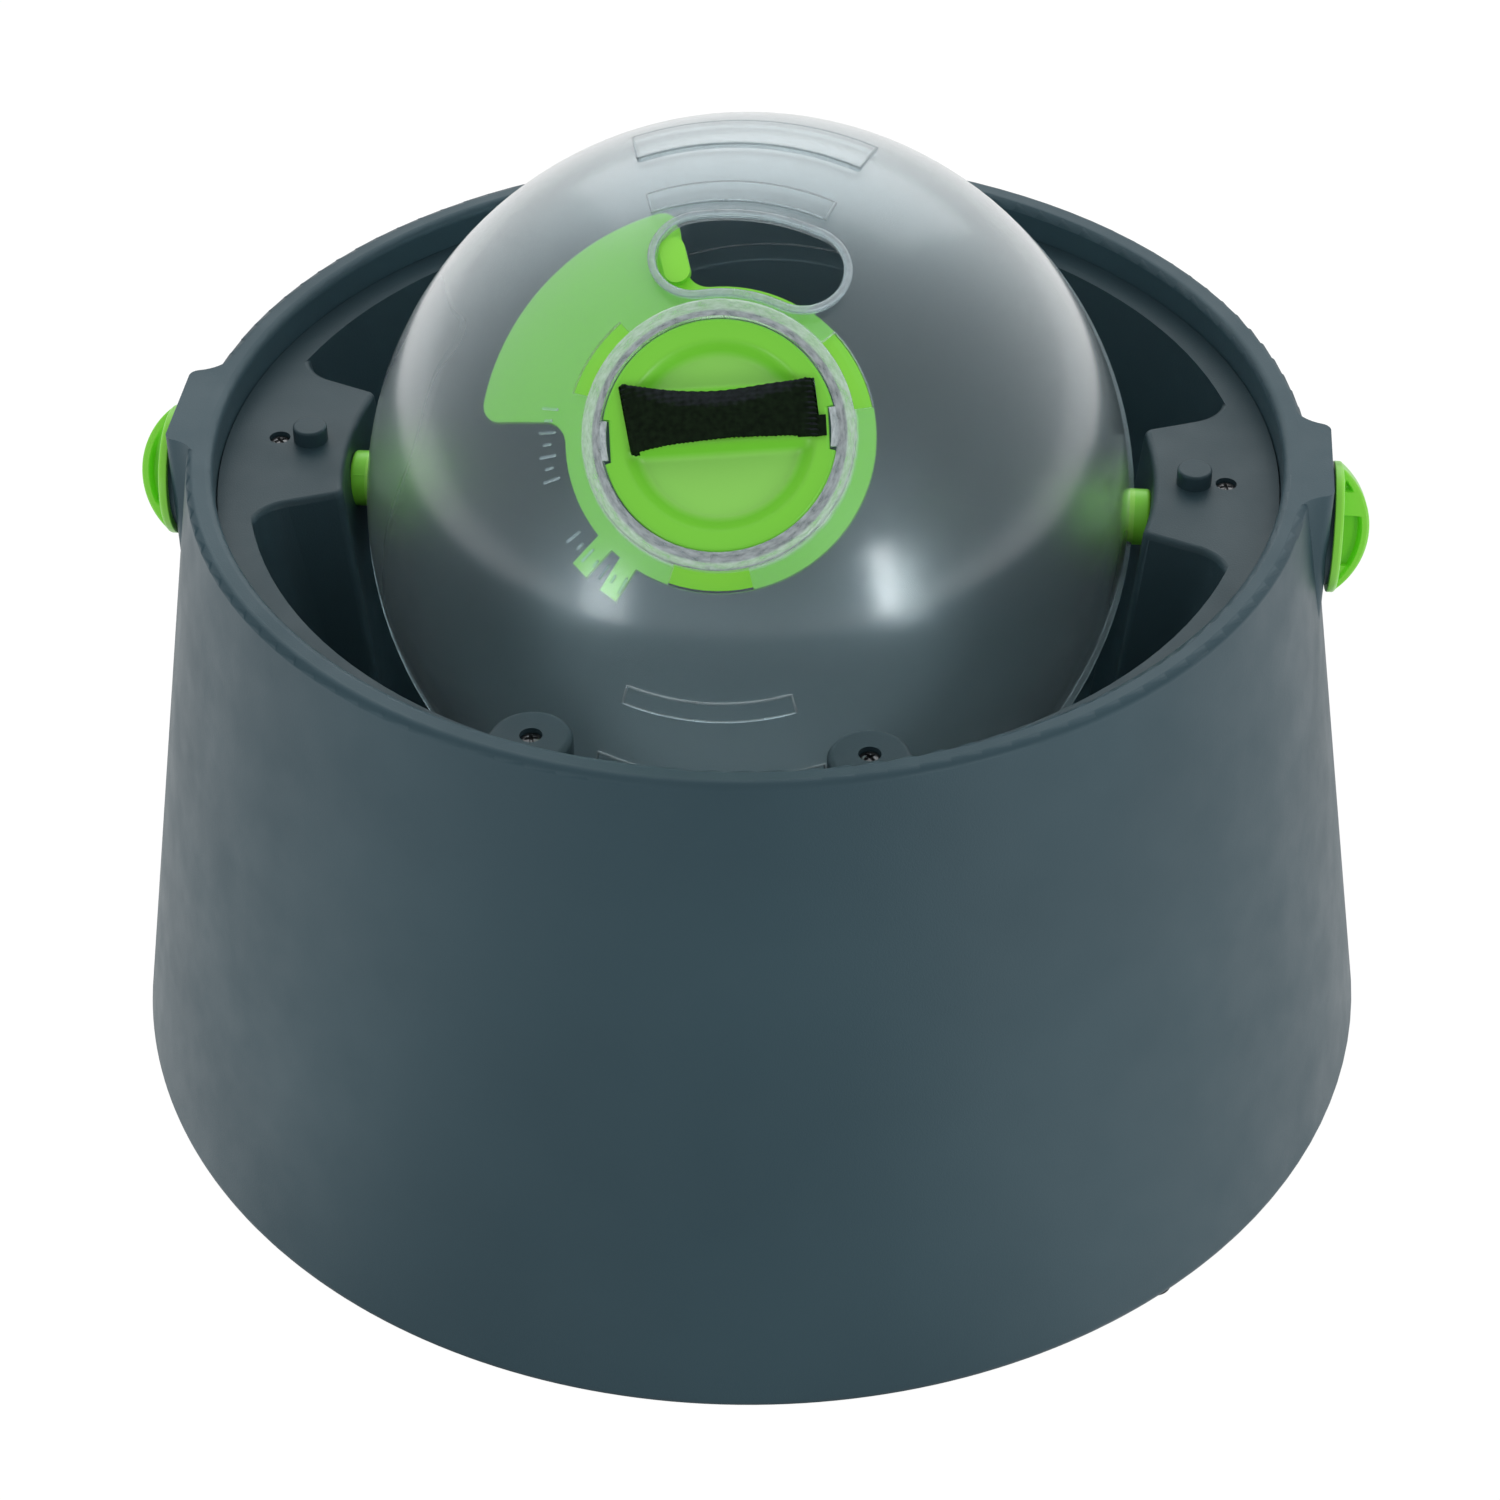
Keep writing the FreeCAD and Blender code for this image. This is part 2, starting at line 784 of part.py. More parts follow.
def make_inner_bowl():
    wall = size("bowl_wall")
    flange = size("flange_radius")
    above = LEDGE + wall
    below = size("floor_height") - 2 * wall

    outside = new_body("bowl_outside")
    profile = new_sketch("bowl_outside_profile", "XZ", outside)
    lean = root(1 + bowl_slope() * bowl_slope())
    draw_outline(profile, bowl_outline(wall, [
        (bowl_wall_radius(SHELF_TOP) + wall * lean, SHELF_TOP),
        (flange, SHELF_TOP), (flange, LEDGE), (0, LEDGE)]))
    revolve(outside, "bowl_outside_solid", profile)

    cavity = new_body("bowl_cavity")
    profile = new_sketch("bowl_cavity_profile", "XZ", cavity)
    draw_outline(profile, bowl_outline(size(0), [
        (bowl_wall_radius(above), above), (0, above)]))
    revolve(cavity, "bowl_cavity_solid", profile)

    islands = pedestal_block("pedestal", above, below, size(0))
    islands.append(lobe_blocks("lobes", above, size("floor_height"), size("lobe_radius")))
    food_space = cut("bowl_food_space", cavity, fuse("bowl_islands", islands))
    shell = cut("bowl_shell", outside, food_space)

    hollows = pedestal_block("pedestal_hollow", SHELF_TOP, below, wall)
    hollows.append(lobe_blocks("lobe_hollows", SHELF_TOP, size("floor_height"),
                               size("lobe_radius") - wall))
    screws = lobe_centres() + [(size("screw_circle"), 0), (-size("screw_circle"), 0)]
    gap = size("free_gap")
    hollows.append(round_holes("screw_head_holes", screws, size("screw_head_radius") + gap / 2,
                               LEDGE, size("screw_head_height") + size("screw_sink")))
    hollows.append(round_holes("screw_shank_holes", screws, size("screw_shank_radius") + gap,
                               LEDGE, size("flange_thick") + wall))
    axle_hole = new_sketch("bowl_axle_outline", "YZ")
    draw_circle(axle_hole, 0, AXLE, size("pin_radius") + gap)
    hollows.append(extrude("bowl_axle_hole", axle_hole, 2 * size("bowl_radius"), both=True))
    opened = cut("bowl_opened", shell, fuse("bowl_hollows", hollows))

    studs = new_sketch("stud_outlines", "XY", offset=LEDGE - size("flange_thick") / 2)
    for side in (1, -1):
        draw_circle(studs, side * size("stud_circle"), 0, size("stud_radius"))
    stud_pair = extrude("studs", studs, size("stud_height") + size("flange_thick") / 2)
    raw = fuse("bowl_raw", [opened, stud_pair])
    doc.recompute()

    body = new_body("inner_bowl")
    body.BaseFeature = raw
    doc.recompute()

    inner, half = size("pedestal_radius").number, size("pedestal_half_width").number

    def is_pedestal_corner(edge):
        if len(edge.Vertexes) != 2 or edge.BoundBox.ZLength < 10:
            return False
        top = max(edge.Vertexes, key=lambda vertex: vertex.Z)
        radius = math.hypot(top.X, top.Y)
        return abs(radius - inner) < 0.3 and abs(abs(top.Y) - half) < 0.3 and top.Z > LEDGE.number - 1
    fillet(body, "pedestal_corners", size("pedestal_corner"), is_pedestal_corner)

    def is_inner_edge(edge):
        middle = edge.valueAt((edge.FirstParameter + edge.LastParameter) / 2)
        inside = math.hypot(middle.x, middle.y) < size("bowl_radius").number - 0.5
        return is_at_height(LEDGE)(edge) and inside and not edge.isClosed()
    fillet(body, "bowl_edge", size("edge_rounding"), is_inner_edge)

    fillet(body, "stud_edges", size("stud_rounding"), is_at_height(LEDGE + size("stud_height")))
    return body


def make_screws():
    """Pan-head screws, head and shank, through the bowl's flange into the casing's bosses."""
    screws = []
    places = [(size("screw_circle"), size(0), "platform_screw_depth"),
              (-size("screw_circle"), size(0), "platform_screw_depth")]
    for x, y in lobe_centres():
        places.append((x, y, "lobe_screw_depth"))
    for index, (x, y, depth) in enumerate(places, start=1):
        body = new_body("bowl_screw_%d" % index)
        head, shank = size("screw_head_radius"), size("screw_shank_radius")
        height = size("screw_head_height")
        rise = height - size("screw_edge_height")
        dome = (head * head + rise * rise) / (2 * rise)
        seat = LEDGE - size("screw_sink") - height
        length = size(depth) + seat - SHELF_TOP
        profile = new_sketch("screw_profile_%d" % index, "XZ", body)
        draw_outline(profile, [(0, -length), (shank, -length), (shank, 0), (head, 0),
                               (head, height - rise, dome), (0, height)])
        revolve(body, "screw_solid_%d" % index, profile)
        bind(body, "Placement.Base.x", x)
        bind(body, "Placement.Base.y", y)
        bind(body, "Placement.Base.z", seat)
        screws.append(body)
    return screws


def make_feet():
    feet = []
    for index, (x, y) in enumerate(foot_centres(), start=1):
        foot = doc.addObject("Part::Cylinder", "foot_%d" % index)
        foot.Label = "foot_%d" % index
        bind(foot, "Radius", size("foot_radius"))
        bind(foot, "Height", size("foot_gap") + size("foot_recess"))
        bind(foot, "Placement.Base.x", x)
        bind(foot, "Placement.Base.y", y)
        feet.append(foot)
    return feet


def tilt_with_ball(thing, turn=None):
    """Places a piece that is modelled about the neck's axis, turned about that axis if asked."""
    thing.Placement = Placement(Vector(), Rotation(Vector(1, 0, 0), size("neck_tilt").number))
    if turn is not None:
        spin = Rotation(Vector(0, 0, 1), size(turn).number)
        thing.Placement = Placement(Vector(), thing.Placement.Rotation.multiply(spin))
    else:
        bind(thing, "Placement.Rotation.Angle", size("neck_tilt"))
    bind(thing, "Placement.Base.z", AXLE)
    return thing


def raised_pads(name, pads, down=False):
    """Shallow raised pads on the ball. Each pad runs from one polar angle to another and spreads
    evenly about the +Y side, or about the -Y side where its side is -1."""
    outer = size("ball_radius") + size("pad_rise")
    inner = size("ball_radius") - size("ball_wall") / 2
    sketch = new_sketch(name + "_outlines", "XY")
    for side, start, end, spread in pads:
        near = size("ball_radius") * sin_of(start)
        far = size("ball_radius") * sin_of(end)
        draw_sector(sketch, near, far, size(90 * side), size(spread) / 2)
    skin = cut(name + "_skin", ball(name + "_outside", outer), ball(name + "_inside", inner))
    return common(name, skin, extrude(name + "_blocks", sketch, outer, down=down))


def make_ball_front():
    body = new_body("front_shell")
    outer, inner = size("ball_radius"), BALL_INNER
    bead = outer + size("bead_rise")
    neck, top = size("neck_radius"), size("neck_top")
    soft = size("neck_rounding")
    profile = new_sketch("front_profile", "XZ", body)
    draw_outline(profile, [
        (inner, 0),
        (bead, 0),
        (bead, size("bead_width") - size("bead_rise")),
        (leg(outer, size("bead_width")), size("bead_width"), outer),
        (neck, leg(outer, neck)),
        (neck, top - soft, soft),
        (neck - soft, top),
        (size("neck_bore"), top),
        (size("neck_bore"), size("seal_seat")),
        (size("tube_bore"), size("seal_seat")),
        (size("tube_bore"), size("tube_end")),
        (size("tube_radius"), size("tube_end")),
        (size("tube_radius"), leg(inner, size("tube_radius")), -inner),
    ])
    revolve(body, "front_solid", profile)

    hook = new_sketch("hook_profile", "YZ", body)
    hook_top = inner - size("shutter_gap") - size("shutter_thick") - size("shutter_gap")
    root_radius = size("tube_radius") - size("hook_root")
    hook_edge = size("hook_outer")
    draw_outline(hook, [
        (-root_radius, size("hook_end")),
        (-size("tube_radius"), size("hook_end")),
        (-hook_edge, leg(hook_top, hook_edge) - size("hook_lip")),
        (-hook_edge, leg(hook_top, hook_edge), -hook_top),
        (-root_radius, leg(hook_top, root_radius)),
    ])
    hook_solid = revolve(body, "hook", hook, angle=2 * size("hook_half_angle"))

    window = new_sketch("window_outline", "XY", body, size("ball_radius"))
    draw_sector(window, neck, size("window_outer"), size("window_angle"),
                size("window_half_angle"))
    window_cut = pocket(body, "window", window, size("ball_radius") - size("hook_end"))
    copies = polar_copies(body, "hooks_and_windows", [hook_solid, window_cut], 3)
    doc.recompute()

    lugs = new_sketch("lug_outlines", "XY", body, top - size("lug_drop"))
    for side in (1, -1):
        draw_neck_lug(lugs, side)
    pad(body, "lugs", lugs, size("lug_height"), down=True)

    hub_hole = new_sketch("front_hub_hole_outline", "YZ", body)
    draw_circle(hub_hole, 0, 0, size("hub_collar_radius") + size("free_gap") / 2)
    pocket(body, "front_hub_holes", hub_hole, 4 * outer, both=True)

    lip_outer = size("kidney_half_width") + size("kidney_lip_width")
    lip_block = extrude("kidney_lip_block", kidney_sketch("kidney_lip_outline", lip_outer), outer)
    lip_shell = cut("kidney_lip_shell", ball("kidney_lip_outside", outer + size("kidney_lip_rise")),
                    ball("kidney_lip_inside", outer - size("ball_wall") / 2))
    lip = common("kidney_lip", lip_shell, lip_block)
    pads = raised_pads("front_pads", [(1, "wide_pad_start", "wide_pad_end", "pad_spread"),
                                      (-1, "wide_pad_start", "wide_pad_end", "pad_spread"),
                                      (1, "upper_strip_start", "upper_strip_end", "pad_spread"),
                                      (-1, "lower_strip_start", "lower_strip_end", "strip_spread")])
    with_lip = fuse("front_with_lip", [body, lip, pads])
    kidney = extrude("kidney_block", kidney_sketch("kidney_outline", size("kidney_half_width")),
                     2 * outer)
    front = cut("ball_front", with_lip, kidney)
    front.Label = "ball_front"
    return tilt_with_ball(front)


def draw_neck_lug(sketch, side):
    """A bayonet lug inside the neck, turned to the notches of the cap."""
    turn = size("cap_turn")
    half = size("lug_half_width")
    bore = size("neck_bore")
    middle = (bore + size("neck_radius")) / 2
    inner = bore - size("lug_reach")

    def place(radial, sideways):
        x = side * radial
        y = side * sideways
        return (x * cos_of(turn) - y * sin_of(turn), x * sin_of(turn) + y * cos_of(turn))

    draw_outline(sketch, [
        place(leg(inner, half), -half),
        place(leg(middle, half), -half),
        place(leg(middle, half), half),
        place(leg(inner, half), half) + (-inner,),
    ])


def draw_sector(sketch, inner, outer, middle, half_angle):
    first, last = middle - half_angle, middle + half_angle
    draw_outline(sketch, [
        polar(inner, first),
        polar(outer, first) + (outer,),
        polar(outer, last),
        polar(inner, last) + (-inner,),
    ])


def kidney_sketch(name, half_width):
    """The kidney: a slot bent round the neck, with round ends."""
    circle = size("kidney_circle")
    start, end = size("kidney_start"), size("kidney_end")
    inner, outer = circle - half_width, circle + half_width
    start_tip = cap_tip(circle, start, half_width, -1)
    end_tip = cap_tip(circle, end, half_width, 1)
    sketch = new_sketch(name, "XY")
    draw_outline(sketch, [
        polar(outer, start) + (outer,),
        polar(outer, end) + (half_width,),
        end_tip + (half_width,),
        polar(inner, end) + (-inner,),
        polar(inner, start) + (half_width,),
        start_tip + (half_width,),
    ])
    return sketch


def cap_tip(circle, angle, half_width, side):
    """Furthest point of the round end of a bent slot."""
    x, y = polar(circle, angle)
    return (x - side * half_width * sin_of(angle), y + side * half_width * cos_of(angle))


def make_ball_back():
    body = new_body("back_shell")
    outer, inner = size("ball_radius"), BALL_INNER
    bead = outer + size("bead_rise")
    profile = new_sketch("back_profile", "XZ", body)
    draw_outline(profile, [
        (0, -outer, outer),
        (leg(outer, size("bead_width")), -size("bead_width")),
        (bead, size("bead_rise") - size("bead_width")),
        (bead, 0),
        (inner, 0, -inner),
        (0, -inner),
    ])
    revolve(body, "back_solid", profile)
    hub_hole = new_sketch("back_hub_hole_outline", "YZ", body)
    draw_circle(hub_hole, 0, 0, size("hub_collar_radius") + size("free_gap") / 2)
    pocket(body, "back_hub_holes", hub_hole, 4 * outer, both=True)
    pads = raised_pads("back_pads", [(1, "back_strip_start", "back_strip_end", "pad_spread"),
                                     (-1, "back_strip_start", "back_strip_end", "pad_spread")],
                       down=True)
    back = fuse("ball_back", [body, pads])
    back.Label = "ball_back"
    return tilt_with_ball(back)


def make_hub(name, side):
    """A stepped bush: a dished disc inside the ball and a collar that comes out through its wall,
    bored for the pin."""
    body = new_body(name)
    dish = BALL_INNER - size("free_gap")
    disc, collar, core = size("hub_disc_radius"), size("hub_collar_radius"), size("hub_core_radius")
    bore = size("pin_radius") + size("running_gap")
    back = leg(dish, disc) - size("hub_disc_thick")
    soft = size("hub_rounding")
    reach = size("hub_collar_reach")
    core_reach, bore_end = size("hub_core_reach"), size("hub_bore_end")
    profile = new_sketch(name + "_profile", "XZ", body)
    draw_outline(profile, [
        (core_reach, 0),
        (bore_end, 0),
        (bore_end, bore),
        (reach, bore),
        (reach, collar - soft, soft),
        (reach - soft, collar),
        (leg(dish, collar), collar, dish),
        (leg(dish, disc), disc),
        (back, disc),
        (back, core),
        (core_reach, core),
    ])
    revolve(body, name + "_solid", profile, axis="H_Axis")
    turn = 0 if side > 0 else 180
    body.Placement = Placement(Vector(), Rotation(Vector(0, 0, 1), turn))
    bind(body, "Placement.Base.z", AXLE)
    return body


def make_pin(name, side, wing_turn):
    """A push-in axle pin: shaft, round flange and a D-shaped wing to hold it by."""
    body = new_body(name)
    seat = size("seat_reach")
    shaft = size("pin_radius")
    tip, flange = size("pin_tip_reach"), size("knob_flange")
    knob = size("knob_radius")
    chamfer, soft = size("pin_chamfer"), size("knob_rounding")
    face = seat + flange
    profile = new_sketch(name + "_profile", "XZ", body)
    draw_outline(profile, [
        (tip, 0),
        (face, 0),
        (face, knob - soft, soft),
        (face - soft, knob),
        (seat, knob),
        (seat, shaft),
        (tip + chamfer, shaft),
        (tip, shaft - chamfer),
    ])
    revolve(body, name + "_solid", profile, axis="H_Axis")

    rise = size("wing_rise")
    chord = knob - 2 * soft
    bend = (chord * chord + rise * rise) / (2 * rise)
    wing = new_sketch(name + "_wing_outline", "XZ", body)
    root_x = face - soft
    draw_outline(wing, [
        (root_x, -chord),
        (face, -chord, bend),
        (face + rise, 0, bend),
        (face, chord),
        (root_x, chord),
    ])
    pad(body, name + "_wing", wing, size("wing_thick"), both=True)

    border, bar, shift = size("wing_border"), size("wing_bar") / 2, size("wing_bar_offset")
    hollow = bend - border
    centre = face + rise - bend
    floor = face + size("wing_floor")
    tip_y = leg(hollow, floor - centre)
    lower, upper = shift - bar, shift + bar
    for label, sign in (("near", 1), ("far", -1)):
        sketch = new_sketch("%s_%s_pockets" % (name, label), "XZ", body,
                            sign * size("wing_web") / 2)
        draw_outline(sketch, [
            (floor, -tip_y, hollow),
            (centre + leg(hollow, lower), lower),
            (floor, lower),
        ])
        draw_outline(sketch, [
            (floor, upper),
            (centre + leg(hollow, upper), upper, hollow),
            (floor, tip_y),
        ])
        pocket(body, "%s_%s_pocket" % (name, label), sketch, size("wing_thick"), up=sign > 0)
    spin = Rotation(Vector(1, 0, 0), size(wing_turn).number)
    facing = Rotation(Vector(0, 0, 1), 0 if side > 0 else 180)
    body.Placement = Placement(Vector(), facing.multiply(spin))
    bind(body, "Placement.Base.z", AXLE)
    return body


def fan_sketch():
    """Plan of the shutter's fan: round corners outside, hollow blends where it leaves the ring."""
    ring, rim = size("shutter_ring_radius"), size("fan_radius")
    corner, blend = size("fan_corner"), size("fan_blend")
    start, end = size("fan_start"), size("fan_end")

    def place(angle, radial, sideways):
        return (radial * cos_of(angle) - sideways * sin_of(angle),
                radial * sin_of(angle) + sideways * cos_of(angle))

    def side(angle, sign):
        """Points of one straight side, from the ring outward; sign is the way into the fan."""
        foot = leg(ring + blend, blend)
        landing = ring / (ring + blend)
        shoulder = leg(rim - corner, corner)
        outer = rim / (rim - corner)
        return [
            place(angle, foot * landing, -sign * blend * landing),
            place(angle, foot, size(0)),
            place(angle, shoulder, size(0)),
            place(angle, shoulder * outer, sign * corner * outer),
        ]

    first, last = side(start, 1), side(end, -1)
    inner = size("tube_radius") + size("ball_wall")
    sketch = new_sketch("fan_outline", "XY")
    draw_outline(sketch, [
        polar(inner, start),
        first[0] + (-blend,),
        first[1],
        first[2] + (corner,),
        first[3] + (rim,),
        last[3] + (corner,),
        last[2],
        last[1] + (-blend,),
        last[0],
        polar(inner, end) + (-inner,),
    ])
    return sketch


def make_shutter():
    outer = BALL_INNER - size("shutter_gap")
    inner = outer - size("shutter_thick")
    height = size("ball_radius") * 2
    ring = new_sketch("shutter_ring_outline", "XY")
    draw_circle(ring, 0, 0, size("shutter_ring_radius"))
    tabs = new_sketch("shutter_tab_outlines", "XY")
    for alias in ("tab_first", "tab_second"):
        angle, half = size(alias), size("tab_width") / 2
        along = (cos_of(angle), sin_of(angle))
        corners = []
        for radial, sideways in ((size("neck_radius"), -half), (size("tab_reach"), -half),
                                 (size("tab_reach"), half), (size("neck_radius"), half)):
            corners.append((radial * along[0] - sideways * along[1],
                            radial * along[1] + sideways * along[0]))
        draw_outline(tabs, corners)
    plan = fuse("shutter_plan", [
        extrude("shutter_ring_block", ring, height),
        extrude("shutter_fan_block", fan_sketch(), height),
        extrude("shutter_tab_blocks", tabs, height),
    ])
    skin = cut("shutter_skin", ball("shutter_outside", outer), ball("shutter_inside", inner))
    plate = common("shutter_plate", skin, plan)

    button = new_sketch("button_outline", "XY")
    draw_button(button)
    knob_skin = cut("button_skin", ball("button_outside", outer + size("button_rise")),
                    ball("button_inside", (outer + inner) / 2))
    knob = common("button", knob_skin, extrude("button_block", button, height))
    bore = new_sketch("shutter_bore_outline", "XY")
    draw_circle(bore, 0, 0, size("tube_radius") + size("shutter_run_gap"))
    shutter = cut("shutter", fuse("shutter_solid", [plate, knob]),
                  extrude("shutter_bore", bore, height))
    shutter.Label = "shutter"
    return tilt_with_ball(shutter)


def draw_button(sketch):
    """An oval grip with round ends, its long side pointing away from the neck."""
    angle = size("button_angle")
    long_half, short_half = size("button_long"), size("button_short")
    along = (cos_of(angle), sin_of(angle))
    circle = size("kidney_circle")

    def place(radial, sideways):
        radial = circle + radial
        return (radial * along[0] - sideways * along[1], radial * along[1] + sideways * along[0])

    straight = long_half - short_half
    draw_outline(sketch, [
        place(-straight, -short_half),
        place(straight, -short_half) + (short_half,),
        place(long_half, size(0)) + (short_half,),
        place(straight, short_half),
        place(-straight, short_half) + (short_half,),
        place(-long_half, size(0)) + (short_half,),
    ])


def make_cap():
    body = new_body("cap")
    rim = size("neck_bore") - size("cap_gap")
    plug = size("tube_bore") - size("cap_gap")
    seat = size("seal_seat") + size("seal_thick")
    top = seat + size("cap_flange_thick")
    soft = size("cap_edge_rounding")
    end, inner = size("cap_plug_end"), plug - size("cap_plug_wall")
    dish, dish_floor = size("dish_radius"), top - size("dish_depth")
    dish_inner = dish - size("dish_slope_width")
    roof = dish_floor - size("cap_floor_thick")
    profile = new_sketch("cap_profile", "XZ", body)
    draw_outline(profile, [
        (0, roof),
        (inner, roof),
        (inner, end),
        (plug, end),
        (plug, seat),
        (rim, seat),
        (rim, top - soft, soft),
        (rim - soft, top),
        (dish, top),
        (dish_inner, dish_floor),
        (0, dish_floor),
    ])
    revolve(body, "cap_solid", profile)

    bar = new_sketch("cap_bar_profile", "YZ", body)
    half = size("bar_half_width")
    foot = half + size("bar_slope_width")
    sink = dish_floor - size("cap_floor_thick") / 2
    draw_outline(bar, [(-foot, sink), (foot, sink), (foot, dish_floor), (half, top),
                       (-half, top), (-foot, dish_floor)])
    pad(body, "cap_bar", bar, 2 * leg(dish, half), both=True)

    notches = new_sketch("cap_notch_outlines", "XY", body, top)
    wide = size("notch_half_width")
    for side in (1, -1):
        near = side * (rim - size("notch_depth"))
        far = side * (rim + size("notch_depth"))
        draw_outline(notches, [(near, -side * wide), (far, -side * wide),
                               (far, side * wide), (near, side * wide)])
    pocket(body, "cap_notches", notches, size("cap_flange_thick"))

    slots = new_sketch("cap_slot_outlines", "XY", body, top)
    wide = size("strap_half_width") + size("strap_gap")
    for side in (1, -1):
        near = side * size("slot_inner")
        far = side * (size("slot_inner") + size("slot_width"))
        draw_outline(slots, [(near, -side * wide), (far, -side * wide),
                             (far, side * wide), (near, side * wide)])
    pocket(body, "cap_slots", slots, top - end)
    return tilt_with_ball(body, "cap_turn")


def make_cap_seal():
    body = new_body("cap_seal")
    gap = size("cap_gap")
    profile = new_sketch("seal_profile", "XZ", body)
    low = size("seal_seat")
    high = low + size("seal_thick")
    inner, outer = size("tube_bore") - gap / 2, size("neck_bore") - gap / 2
    draw_outline(profile, [(inner, low), (outer, low), (outer, high), (inner, high)])
    revolve(body, "seal_solid", profile)
    return tilt_with_ball(body)


def make_cap_strap():
    """A webbing loop: a run over the bar, arched for a finger, and a run under it."""
    body = new_body("cap_strap")
    gap, thick = size("strap_gap"), size("strap_thick")
    top = size("seal_seat") + size("seal_thick") + size("cap_flange_thick")
    under = top - size("dish_depth") - size("cap_floor_thick") - gap
    over = top + gap
    inner = size("slot_inner") + (size("slot_width") - thick) / 2
    outer = inner + thick
    arch = size("strap_arch")
    bend = (inner * inner + arch * arch) / (2 * arch)
    wide_bend = bend + thick
    peak = over + arch
    profile = new_sketch("strap_profile", "XZ", body)
    draw_outline(profile, [
        (-outer, under - thick),
        (outer, under - thick),
        (outer, over + thick / 2, thick / 2),
        (outer - thick / 2, over + thick, wide_bend),
        (0, peak + thick, wide_bend),
        (thick / 2 - outer, over + thick, thick / 2),
        (-outer, over + thick / 2),
    ])
    draw_outline(profile, [
        (-inner, under),
        (inner, under),
        (inner, over, bend),
        (0, peak, bend),
        (-inner, over),
    ])
    pad(body, "strap_loop", profile, 2 * size("strap_half_width"), both=True)
    return tilt_with_ball(body, "cap_turn")


def write_pieces(pieces):
    """Stops at a failed object or a bad shape, then writes one file for each piece."""
    doc.recompute()
    for thing in doc.Objects:
        if "Invalid" in thing.State or "Error" in thing.State:
            raise ValueError("%s failed: %s" % (thing.Name, thing.State))
    os.makedirs("parts", exist_ok=True)
    for piece in pieces:
        shape = piece.Shape
        if shape.isNull() or not shape.isValid() or shape.Volume <= 0:
            raise ValueError("bad shape: " + piece.Label)
        if len(shape.Solids) != 1:
            raise ValueError("%s has %d solids" % (piece.Label, len(shape.Solids)))
        box = shape.BoundBox
        print("%-14s %9.1f mm3  x %.1f..%.1f  y %.1f..%.1f  z %.1f..%.1f" % (
            piece.Label, shape.Volume, box.XMin, box.XMax, box.YMin, box.YMax, box.ZMin, box.ZMax))
        shape.exportStep("parts/%s.step" % piece.Label)


pieces = [make_outer_casing(), make_inner_bowl()]
pieces += make_screws() + make_feet()
pieces += [
    make_ball_front(),
    make_ball_back(),
    make_hub("hub_right", 1),
    make_hub("hub_left", -1),
    make_pin("pin_right", 1, "right_wing_turn"),
    make_pin("pin_left", -1, "left_wing_turn"),
    make_shutter(),
    make_cap(),
    make_cap_seal(),
    make_cap_strap(),
]
write_pieces(pieces)
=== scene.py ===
import json
import math
import random

import bmesh
import bpy
from mathutils import Matrix, Vector


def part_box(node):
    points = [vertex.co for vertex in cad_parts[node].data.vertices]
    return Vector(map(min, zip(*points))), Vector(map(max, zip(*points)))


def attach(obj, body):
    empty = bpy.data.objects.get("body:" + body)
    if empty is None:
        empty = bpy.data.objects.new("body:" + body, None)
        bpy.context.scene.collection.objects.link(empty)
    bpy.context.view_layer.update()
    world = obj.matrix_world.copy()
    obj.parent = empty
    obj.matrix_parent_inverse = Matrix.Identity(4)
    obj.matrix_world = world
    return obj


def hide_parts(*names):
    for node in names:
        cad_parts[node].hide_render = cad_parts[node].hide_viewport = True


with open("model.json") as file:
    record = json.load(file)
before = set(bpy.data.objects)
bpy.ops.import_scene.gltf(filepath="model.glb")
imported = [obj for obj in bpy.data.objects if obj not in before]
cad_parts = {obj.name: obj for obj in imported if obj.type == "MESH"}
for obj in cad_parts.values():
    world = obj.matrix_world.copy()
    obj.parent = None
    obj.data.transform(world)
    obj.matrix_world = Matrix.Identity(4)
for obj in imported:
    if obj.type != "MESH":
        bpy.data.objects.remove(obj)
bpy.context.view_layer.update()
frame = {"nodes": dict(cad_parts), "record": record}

nodes = frame["nodes"]
bpy.context.scene.view_settings.view_transform = "Standard"

MM = 0.001
AXLE = 139.6  # height of the ball's axle, in millimetres
NECK_TILT = math.radians(46.5)  # the neck leans forward by this
BALL_CENTRE = (0, 0, AXLE * MM)
NECK_AXIS = (0.0, -math.sin(NECK_TILT), math.cos(NECK_TILT))
BAND_ACROSS = (0.0, math.cos(NECK_TILT), math.sin(NECK_TILT))
# how far the chord of each pin's wing leans back from upright
RIGHT_LEAN, LEFT_LEAN = math.radians(-20), math.radians(30)


# Shader nodes

MIX_FACTOR, MIX_FIRST, MIX_SECOND, MIX_COLOUR = 0, 6, 7, 2  # a mix node's sockets, by number
NOISE_LOW, NOISE_HIGH = 0.3, 0.7  # the middle range of a noise


def add(tree, kind, **settings):
    item = tree.nodes.new("ShaderNode" + kind)
    for key, value in settings.items():
        setattr(item, key, value)
    return item


def feed(tree, item, values):
    """Gives a node's inputs plain values, colours or the outputs of other nodes."""
    for key, value in values.items():
        socket = item.inputs[key]
        if isinstance(value, bpy.types.NodeSocket):
            tree.links.new(value, socket)
        elif isinstance(value, tuple) and len(value) < len(socket.default_value):
            socket.default_value = (*value, 1)
        else:
            socket.default_value = value
    return item


def new_material(name):
    """A material, its nodes, its shader and the socket that its surface goes to."""
    mat = bpy.data.materials.new(name)
    mat.use_nodes = True
    tree = mat.node_tree
    tree.nodes.clear()
    out = add(tree, "OutputMaterial")
    shader = add(tree, "BsdfPrincipled")
    tree.links.new(shader.outputs[0], out.inputs[0])
    return mat, tree, shader, out.inputs[0]


